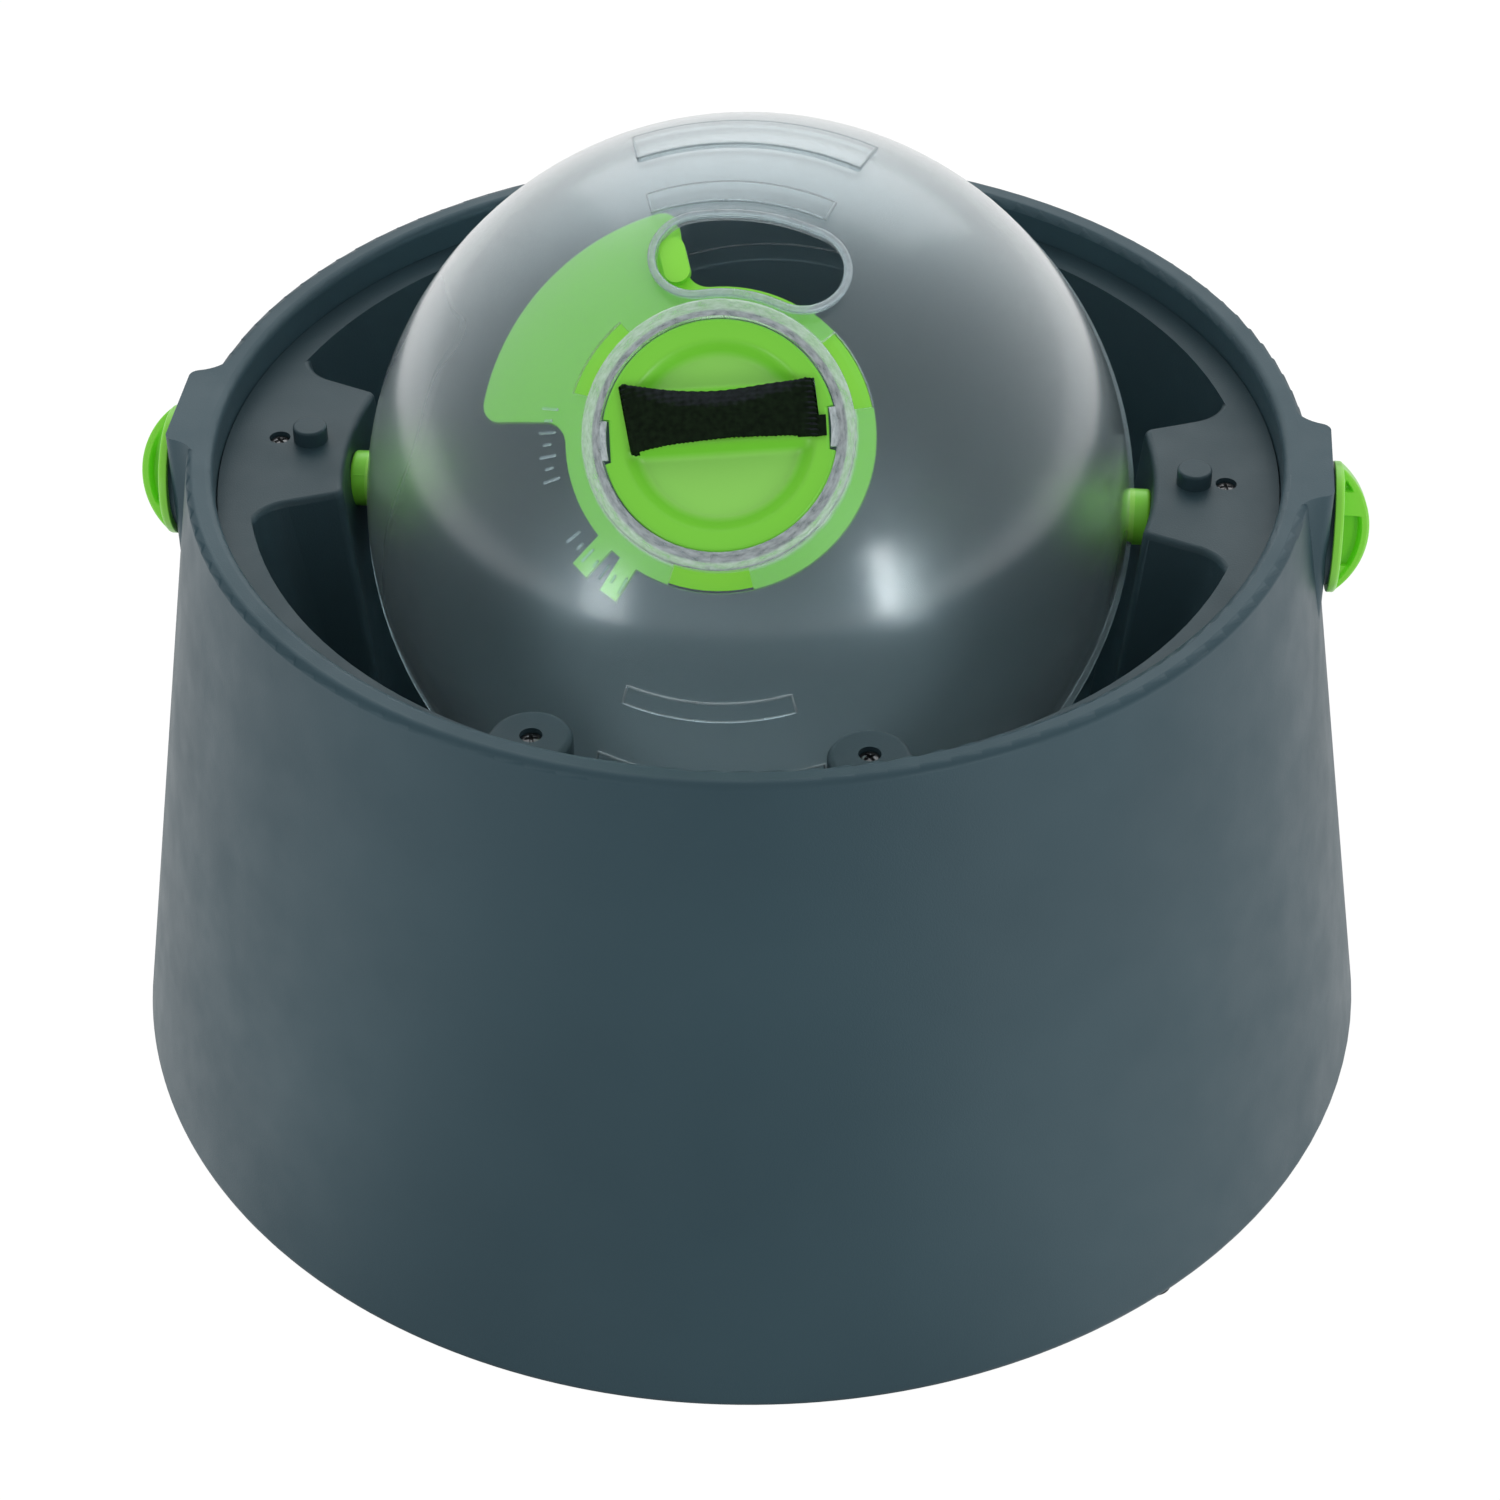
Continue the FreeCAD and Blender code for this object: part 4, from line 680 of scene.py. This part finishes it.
def make_webbing():
    grid = []
    for stage, count in WEB_STAGES:
        for k in range(count):
            grid.append([web_point(stage, k / count, j / WEB_COLUMNS)
                         for j in range(WEB_COLUMNS + 1)])
    total = len(grid)
    rng = random.Random(7)
    fray = [[rng.uniform(-1, 1) for _ in range(total)] for _ in range(2)]
    travelled, way = [], 0.0
    middle = WEB_COLUMNS // 2
    for i in range(total):
        travelled.append(way)
        way += (grid[(i + 1) % total][middle] - grid[i][middle]).length
    form = bmesh.new()
    loops = []
    for i in range(total):
        before, here, after = grid[i - 1], grid[i], grid[(i + 1) % total]
        width = sum((here[j + 1] - here[j]).length for j in range(WEB_COLUMNS))
        outer_row, inner_row = [], []
        for j in range(WEB_COLUMNS + 1):
            a = here[max(0, j - 1)]
            b = here[min(WEB_COLUMNS, j + 1)]
            normal = (after[j] - before[j]).cross(b - a).normalized()
            share = j / WEB_COLUMNS
            to_edge = min(share, 1 - share) * width
            lip = math.sqrt(max(0.0, 1 - (1 - min(1.0, to_edge / EDGE_ROUND)) ** 2))
            rib = RIB_HEIGHT * math.cos(2 * math.pi * travelled[i] / RIB_PITCH)
            fold = smooth((abs(here[j].x) - FOLD_START) / FOLD_RUN)
            bundle = (BUNDLE_FACE + (BUNDLE_FOLD - BUNDLE_FACE) * fold) * math.cos(
                2 * math.pi * share * width / BUNDLE_PITCH)
            half = WEB_THICK / 2 - RIB_HEIGHT + rib * (1 - fold) + bundle
            half *= EDGE_THIN + (1 - EDGE_THIN) * lip
            sway = Vector((0, 0, 0))
            if j in (0, WEB_COLUMNS):
                inward, threads = (1, fray[0]) if j == 0 else (WEB_COLUMNS - 1, fray[1])
                wave = math.cos(2 * math.pi * travelled[i] / FRAY_PITCH)
                sway = (here[j] - here[inward]).normalized() * FRAY * (threads[i] + wave)
            outer_row.append(form.verts.new(here[j] + normal * half + sway))
            inner_row.append(form.verts.new(here[j] - normal * half + sway))
        loops.append(outer_row + inner_row[::-1])
    skin(form, loops, close_rows=True)
    # the loop's other end shows as a short second layer beside the right-hand fold
    tail_rows = []
    for k in range(TAIL_STEPS + 1):
        x = TAIL_X[0] + (TAIL_X[1] - TAIL_X[0]) * k / TAIL_STEPS
        tail = [TAIL_Y[0] + (TAIL_Y[1] - TAIL_Y[0]) * j / TAIL_STEPS for j in range(TAIL_STEPS + 1)]
        waves = [BUNDLE_FACE * math.cos(2 * math.pi * y / BUNDLE_PITCH) for y in tail]
        upper = [form.verts.new((x, y, TAIL_LEVEL + wave)) for y, wave in zip(tail, waves)]
        lower = [form.verts.new((x, y, TAIL_UNDER)) for y in tail]
        tail_rows.append(upper + lower[::-1])
    skin(form, tail_rows, ends=True)
    hand_over("webbing_loop", form, IN_CAP, webbing, "cap", "cap_strap", sharp=60)


# Axle pins: a shaft, a round flange and a D-shaped wing with pockets

PIN_TIP, PIN_RADIUS, PIN_CHAMFER, PIN_SEAT = 77.0, 3.5, 1.0, 129.8
KNOB_RADIUS, KNOB_FLANGE, KNOB_UNDER_ROUND, KNOB_FACE_ROUND = 14.6, 2.0, 0.25, 0.8
WING_RISE, WING_CHORD, WING_HALF, WING_WEB, WING_BORDER = 6.6, 13.9, 3.1, 0.9, 1.6
WING_ROUND, WING_ROOT, WING_COLUMNS, WING_ROWS = 0.7, 0.5, 150, 44
# where a slope starts and over what length it runs
BORDER_SLOPE, FOOT_START, FOOT_SLOPE, END_BORDER = 0.9, 0.35, 0.6, 1.9
UPPER_POCKET, LARGE_POCKET, SHALLOW_STEP = (8.7, 0.5), (3.4, 0.35), (8.0, 0.35)
UPPER_SHARE, STEP_SHARE = 0.75, 0.62
HOLLOW_TOP, HOLLOW_FOOT = (11.0, 9.0), (8.6, 2.2)


def wing_depth(kind, chord, rise, reach):
    """How far a wing's side is sunk below its border."""
    edge = (smooth((reach - rise - WING_BORDER) / BORDER_SLOPE)
            * smooth((rise - FOOT_START) / FOOT_SLOPE))
    ends = smooth((WING_CHORD - END_BORDER - abs(chord)) / BORDER_SLOPE)
    deepest = (WING_HALF - WING_WEB) * edge * ends
    if kind == "ribbed":
        # from the upper end: a small pocket, a broad rib, the large pocket and a shallow step
        upper = smooth((chord - UPPER_POCKET[0]) / UPPER_POCKET[1])
        step = smooth((-SHALLOW_STEP[0] - chord) / SHALLOW_STEP[1])
        large = smooth((LARGE_POCKET[0] - chord) / LARGE_POCKET[1]) * (1 - STEP_SHARE * step)
        return deepest * max(UPPER_SHARE * upper, large)
    # one long soft hollow that ends in a slope
    hollow = (smooth((HOLLOW_TOP[0] - chord) / HOLLOW_TOP[1])
              * smooth((chord + HOLLOW_FOOT[0]) / HOLLOW_FOOT[1]))
    return deepest * hollow


def make_pin(name, side, lean, front, back):
    form = bmesh.new()
    face = PIN_SEAT + KNOB_FLANGE
    profile = rounded([(0, PIN_TIP), (PIN_RADIUS - PIN_CHAMFER, PIN_TIP),
                       (PIN_RADIUS, PIN_TIP + PIN_CHAMFER), (PIN_RADIUS, PIN_SEAT),
                       (KNOB_RADIUS, PIN_SEAT, KNOB_UNDER_ROUND),
                       (KNOB_RADIUS, face, KNOB_FACE_ROUND), (0, face)])
    turned(form, profile, segments=96, axis="X")
    bend = (WING_CHORD ** 2 + WING_RISE ** 2) / (2 * WING_RISE)
    sheets = []
    for facing, kind in ((-1, front), (1, back)):
        sheet = []
        for i in range(WING_COLUMNS + 1):
            chord = WING_CHORD * (2 * i / WING_COLUMNS - 1)
            reach = max(0.0, math.sqrt(max(0.0, bend ** 2 - chord ** 2)) + WING_RISE - bend)
            line = []
            for k in range(WING_ROWS + 1):
                rise = (reach + WING_ROOT) * (k / WING_ROWS) - WING_ROOT
                lip = min(1.0, max(0.0, (reach - rise) / WING_ROUND))
                half = WING_HALF - WING_ROUND + WING_ROUND * math.sqrt(max(0.0, 1 - (1 - lip) ** 2))
                half -= wing_depth(kind, chord, rise, reach)
                line.append(form.verts.new((face + rise, facing * half, chord)))
            sheet.append(line)
        skin(form, sheet, close_columns=False)
        sheets.append(sheet)
    border = []
    for sheet in sheets:
        ring = sheet[0][:]
        ring += [line[-1] for line in sheet[1:]]
        ring += sheet[-1][-2::-1]
        ring += [line[0] for line in sheet[-2:0:-1]]
        border.append(ring)
    skin(form, border)
    hand_over(name + "_moulding", form, beside_axle(side, lean), green_pins[name], name,
              name, sharp=38)


# Screws with a cross recess

SCREW_TOP, HEAD_HEIGHT, HEAD_RADIUS = 148.9, 1.2, 2.2
HEAD_CROWN, CROWN_CURVE, CROWN_STEPS = 0.45, 2.2, 14
SHANK_RADIUS, TIP_SHARE, TIP_LENGTH = 1.25, 0.6, 0.8
RECESS_REACH, RECESS_BELOW, RECESS_DEPTH = 1.7, 0.6, 0.75
ARM_HALF, ARM_WALL, ARM_LENGTH, ARM_END = 0.36, 0.12, 1.35, 0.15
SCREW_TURN, TURN_BY_X, TURN_BY_Y = 0.4, 0.9, 0.7  # each screw stops at an angle of its own


def recessed(x, y, radius, height):
    """A screw's height with the cross sunk in its top."""
    if height < SCREW_TOP - RECESS_BELOW or radius > RECESS_REACH:
        return height

    def arm(wide, long):
        return (smooth((ARM_HALF - abs(wide)) / ARM_WALL)
                * smooth((ARM_LENGTH - abs(long)) / ARM_END))

    return height - RECESS_DEPTH * max(arm(x, y), arm(y, x))


def make_screw(name, x, y, low):
    form = bmesh.new()
    shares = [k / CROWN_STEPS for k in range(CROWN_STEPS, -1, -1)]
    crown = [(HEAD_RADIUS * share, SCREW_TOP - HEAD_CROWN * share ** CROWN_CURVE)
             for share in shares]
    under = SCREW_TOP - HEAD_HEIGHT
    profile = [(0, low), (SHANK_RADIUS * TIP_SHARE, low), (SHANK_RADIUS, low + TIP_LENGTH),
               (SHANK_RADIUS, under), (HEAD_RADIUS, under)] + crown
    turned(form, profile, segments=72, height=recessed)
    turn = Matrix.Rotation(SCREW_TURN + TURN_BY_X * x + TURN_BY_Y * y, 4, "Z")
    where = Matrix.Translation((x, y, 0)) @ turn
    hand_over(name + "_crosshead", form, where, steel, "base", name, sharp=30)


# Small raised marks round the neck, in place of lettering

# each row's first and last angle round the neck, its count and its angle out from the neck's axis
MARK_ROWS = ((-187.0, -163.0, 7, 24.6), (-143.0, -120.0, 7, 25.0))
MARK_RADIUS, MARK_LONG, MARK_SHORT, MARK_HALF, MARK_SIDES = 85.45, 1.7, 0.7, 0.3, 16
MARK_SECTION = ((-0.25, 1.0), (0.12, 1.0), (0.26, 0.75), (0.32, 0.35))  # height and share of width


def make_marks():
    form = bmesh.new()
    for first, last, count, spread in MARK_ROWS:
        for k in range(count):
            azimuth = math.radians(first + (last - first) * k / (count - 1))
            polar = math.radians(spread)
            length = MARK_LONG if k % 2 == 0 else MARK_SHORT
            out = Vector((math.sin(polar) * math.cos(azimuth), math.sin(polar) * math.sin(azimuth),
                          math.cos(polar)))
            radial = (Vector((0, 0, 1)) - out * out.z).normalized()
            sideways = out.cross(radial)
            base = out * MARK_RADIUS
            rows = []
            for lift, share in MARK_SECTION:
                row = []
                for s in range(MARK_SIDES):
                    angle = 2 * math.pi * s / MARK_SIDES
                    end = length if math.cos(angle) > 0 else -length
                    local = (radial * (end + MARK_HALF * math.cos(angle) * share)
                             + sideways * MARK_HALF * math.sin(angle) * share)
                    row.append(form.verts.new(base + local + out * lift))
                rows.append(row)
            skin(form, rows, ends=True)
    hand_over("neck_marks", form, IN_BALL, clear, "ball", None, sharp=30)


# Rounded edges of the shell: the lip round the kidney slot and the outlines of the raised pads

BALL_RADIUS, PAD_TOP = 85.5, 86.15
LIP_TOP, LIP_BEAD, PAD_BEAD, EDGE_SINK, BEAD_SIDES = 86.6, 0.85, 0.30, 0.31, 10
SLOT_CIRCLE, LIP_MIDDLE, SLOT_START, SLOT_END = 38.75, 9.35, 68.0, 101.0
# each pad's middle angle, its start and end out from the neck's axis, and its spread, in degrees
PADS = ((90, 52.3, 61.9, 41.0), (-90, 52.3, 61.9, 41.0), (90, 37.0, 41.2, 41.0),
        (-90, 38.6, 41.6, 37.0))


def tube(form, outline, centre_radius, radius):
    """A closed round bead along an outline on the ball."""
    points = [Vector((x, y, math.sqrt(centre_radius * centre_radius - x * x - y * y)))
              for x, y in outline]
    rows = []
    for i, point in enumerate(points):
        ahead = (points[(i + 1) % len(points)] - points[i - 1]).normalized()
        aside = ahead.cross(point.normalized()).normalized()
        out = aside.cross(ahead)
        rows.append([form.verts.new(point + radius * (out * math.cos(a) + aside * math.sin(a)))
                     for a in (2 * math.pi * k / BEAD_SIDES for k in range(BEAD_SIDES))])
    skin(form, rows, close_rows=True)


def arc(middle, radius, first, last, steps):
    angles = [math.radians(first + (last - first) * k / steps) for k in range(steps + 1)]
    return [(middle[0] + radius * math.cos(a), middle[1] + radius * math.sin(a)) for a in angles]


def make_edges():
    form = bmesh.new()
    first, last = [arc((0, 0), SLOT_CIRCLE, a, a, steps=1)[0] for a in (SLOT_START, SLOT_END)]
    outline = arc((0, 0), SLOT_CIRCLE + LIP_MIDDLE, SLOT_START, SLOT_END, steps=40)
    outline += arc(last, LIP_MIDDLE, SLOT_END, SLOT_END + 180, steps=24)[1:-1]
    outline += arc((0, 0), SLOT_CIRCLE - LIP_MIDDLE, SLOT_END, SLOT_START, steps=30)
    outline += arc(first, LIP_MIDDLE, SLOT_START + 180, SLOT_START + 360, steps=24)[1:-1]
    tube(form, outline, LIP_TOP - LIP_BEAD / 2, LIP_BEAD)
    for middle, start, end, spread in PADS:
        near, far = (BALL_RADIUS * math.sin(math.radians(a)) for a in (start, end))
        outline = arc((0, 0), far, middle - spread / 2, middle + spread / 2, steps=60)
        outline += arc((0, 0), near, middle + spread / 2, middle - spread / 2, steps=50)
        tube(form, outline, PAD_TOP - EDGE_SINK, PAD_BEAD)
    hand_over("shell_edges", form, IN_BALL, edge_plastic, "ball", None, sharp=60)


# Ends of the hubs' collars, with the fine parting line that runs along them

COLLAR_START, COLLAR_END, COLLAR_RADIUS, COLLAR_BORE = 86.4, 89.9, 6.27, 3.75
COLLAR_ROUND, COLLAR_BORE_ROUND, COLLAR_SEGMENTS = 0.9, 0.3, 72
PARTING_LEAN = math.radians(40)
PARTING_SECTION = ((-0.1, -0.22), (0.09, -0.1), (0.09, 0.1), (-0.1, 0.22))  # out and across


def make_collar(name, side):
    form = bmesh.new()
    profile = rounded([(COLLAR_BORE, COLLAR_START), (COLLAR_RADIUS, COLLAR_START),
                       (COLLAR_RADIUS, COLLAR_END, COLLAR_ROUND),
                       (COLLAR_BORE, COLLAR_END, COLLAR_BORE_ROUND),
                       (COLLAR_BORE, COLLAR_START)])[:-1]
    angles = [2 * math.pi * k / COLLAR_SEGMENTS for k in range(COLLAR_SEGMENTS)]
    rows = [[form.verts.new((reach, radius * math.cos(a), radius * math.sin(a))) for a in angles]
            for radius, reach in profile]
    skin(form, rows, close_rows=True)
    for y in (-1, 1):
        ridge = [[form.verts.new((x, y * (COLLAR_RADIUS + out), up)) for out, up in PARTING_SECTION]
                 for x in (COLLAR_START, COLLAR_END - COLLAR_ROUND)]
        skin(form, ridge, ends=True)
    hand_over(name, form, beside_axle(side, PARTING_LEAN), green_collar, "ball",
              None, sharp=30)


make_edges()
make_collar("hub_right_collar", 1)
make_collar("hub_left_collar", -1)
make_cap()
make_webbing()
make_pin("pin_right", 1, RIGHT_LEAN, "ribbed", "ribbed")
make_pin("pin_left", -1, LEFT_LEAN, "ribbed", "hollow")
for part in frame["record"]["subparts"]:
    if part["node"].startswith("bowl_screw"):
        low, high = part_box(part["node"])
        x, y = ((a + b) / 2 / MM for a, b in zip(low[:2], high[:2]))
        make_screw(part["node"], x, y, low[2] / MM)
make_marks()


# Studio

CAMERA_YAW, CAMERA_PITCH, CAMERA_ROLL = (math.radians(a) for a in (-5.7224, 38.7722, -0.4121))
CAMERA_PLACE = (0.06605, -0.6597, 0.5991)
FOCAL_PIXELS, PHOTO_PIXELS, SENSOR = 3572.46, 1500, 36.0
FLOOR_RADIUS, FLOOR_GREY, FLOOR_SEEN, FLOOR_GLOW = 6.0, (0.6, 0.6, 0.6), 0.90, 1.1
WORLD_SEEN = 1.25
# in reflections the floor dims to the front, and the world brightens to the back and above
FLOOR_FRONT, BRIGHT_SIDE = (-0.10, -0.995, 0.0), (0.0, 0.985, 0.17)
# each of these says low, high, start and end, as span takes them
FLOOR_DIM = (1.0, 0.2, 0.62, 0.99)
GLOSSY_WORLD = (0.05, 1.0, -0.10, 1.0)
# light for matt surfaces comes more from the sides, and from above
SIDE_LIGHT = (0.62, 1.0, 0.25, 0.95)
OVERHEAD_LIGHT = (0.0, 0.3, 0.3, 1.0)
# name, place, what it points at, width, height and power
SOFTBOXES = (
    ("left_softbox", (-0.66, -0.98, 0.17), (0, 0, 0.12), 0.26, 0.30, 0.9),
    ("right_softbox", (0.83, -0.88, 0.25), (0, 0, 0.12), 0.14, 0.40, 1.5),
    ("back_softbox", (0.0, 1.15, 0.90), (0, 0, 0.14), 1.6, 0.9, 3.6),
)


def make_camera():
    forward = Vector((math.sin(CAMERA_YAW) * math.cos(CAMERA_PITCH),
                      math.cos(CAMERA_YAW) * math.cos(CAMERA_PITCH), -math.sin(CAMERA_PITCH)))
    level = forward.cross(Vector((0, 0, 1))).normalized()
    upward = level.cross(forward)
    right = level * math.cos(CAMERA_ROLL) + upward * math.sin(CAMERA_ROLL)
    up = upward * math.cos(CAMERA_ROLL) - level * math.sin(CAMERA_ROLL)
    data = bpy.data.cameras.new("camera")
    data.sensor_width = SENSOR
    data.sensor_fit = "HORIZONTAL"
    data.lens = FOCAL_PIXELS / PHOTO_PIXELS * SENSOR
    data.clip_start = 0.05
    data.clip_end = 50
    camera = bpy.data.objects.new("camera", data)
    bpy.context.scene.collection.objects.link(camera)
    turn = Matrix((right, up, -forward)).transposed().to_4x4()
    camera.matrix_world = Matrix.Translation(CAMERA_PLACE) @ turn
    bpy.context.scene.camera = camera


def make_floor():
    """A pale floor that keeps the object's shadow."""
    mat, tree, shader, surface = new_material("floor")
    feed(tree, shader, {"Base Color": FLOOR_GREY, "Roughness": 0.9, "Specular IOR Level": 0.1})
    rays = add(tree, "LightPath").outputs
    straight = maths(tree, "MAXIMUM", rays["Is Camera Ray"], rays["Is Transmission Ray"])
    # white, and dimmer in front of the object where a glossy surface reflects it
    outward = vectors(tree, "NORMALIZE", place(tree))
    forward = vectors(tree, "DOT_PRODUCT", outward, FLOOR_FRONT)
    front = span(tree, forward, *FLOOR_DIM, ease="SMOOTHSTEP")
    glow = feed(tree, add(tree, "Emission"), {"Strength": span(tree, straight, front, FLOOR_GLOW)})
    seen = maths(tree, "MAXIMUM", straight, rays["Is Glossy Ray"])
    mix = feed(tree, add(tree, "MixShader"),
               {0: span(tree, seen, 0.0, FLOOR_SEEN), 1: shader.outputs[0], 2: glow.outputs[0]})
    tree.links.new(mix.outputs[0], surface)
    mesh = bpy.data.meshes.new("floor")
    ring = bmesh.new()
    bmesh.ops.create_circle(ring, cap_ends=True, segments=96, radius=FLOOR_RADIUS)
    ring.to_mesh(mesh)
    ring.free()
    mesh.materials.append(mat)
    floor = bpy.data.objects.new("floor", mesh)
    bpy.context.scene.collection.objects.link(floor)


def make_world():
    """White where it is seen, soft light from the sides and above for matt surfaces, and dim
    behind the camera where a glossy surface reflects it."""
    world = bpy.data.worlds.new("world")
    world.use_nodes = True
    bpy.context.scene.world = world
    tree = world.node_tree
    tree.nodes.clear()
    rays = add(tree, "LightPath").outputs
    direction = add(tree, "TexCoord").outputs["Generated"]
    toward = vectors(tree, "DOT_PRODUCT", direction, BRIGHT_SIDE)
    glossy = span(tree, toward, *GLOSSY_WORLD, ease="SMOOTHSTEP")
    parts = feed(tree, add(tree, "SeparateXYZ"), {0: direction}).outputs
    sides = span(tree, maths(tree, "ABSOLUTE", parts["X"]), *SIDE_LIGHT, ease="SMOOTHSTEP")
    matt = maths(tree, "ADD", sides, span(tree, parts["Z"], *OVERHEAD_LIGHT))
    straight = maths(tree, "MAXIMUM", rays["Is Camera Ray"], rays["Is Transmission Ray"])
    indirect = span(tree, rays["Is Glossy Ray"], matt, glossy)
    strength = span(tree, straight, indirect, WORLD_SEEN)
    back = feed(tree, add(tree, "Background"), {"Strength": strength})
    tree.links.new(back.outputs[0], add(tree, "OutputWorld").inputs[0])


def make_softbox(name, where, target, width, height, power):
    lamp = bpy.data.lights.new(name, "AREA")
    lamp.shape = "RECTANGLE"
    lamp.size = width
    lamp.size_y = height
    lamp.energy = power
    thing = bpy.data.objects.new(name, lamp)
    bpy.context.scene.collection.objects.link(thing)
    thing.visible_camera = False
    look = (Vector(target) - Vector(where)).normalized()
    turn = look.to_track_quat("-Z", "Y").to_matrix().to_4x4()
    thing.matrix_world = Matrix.Translation(where) @ turn


make_camera()
make_floor()
make_world()
for softbox in SOFTBOXES:
    make_softbox(*softbox)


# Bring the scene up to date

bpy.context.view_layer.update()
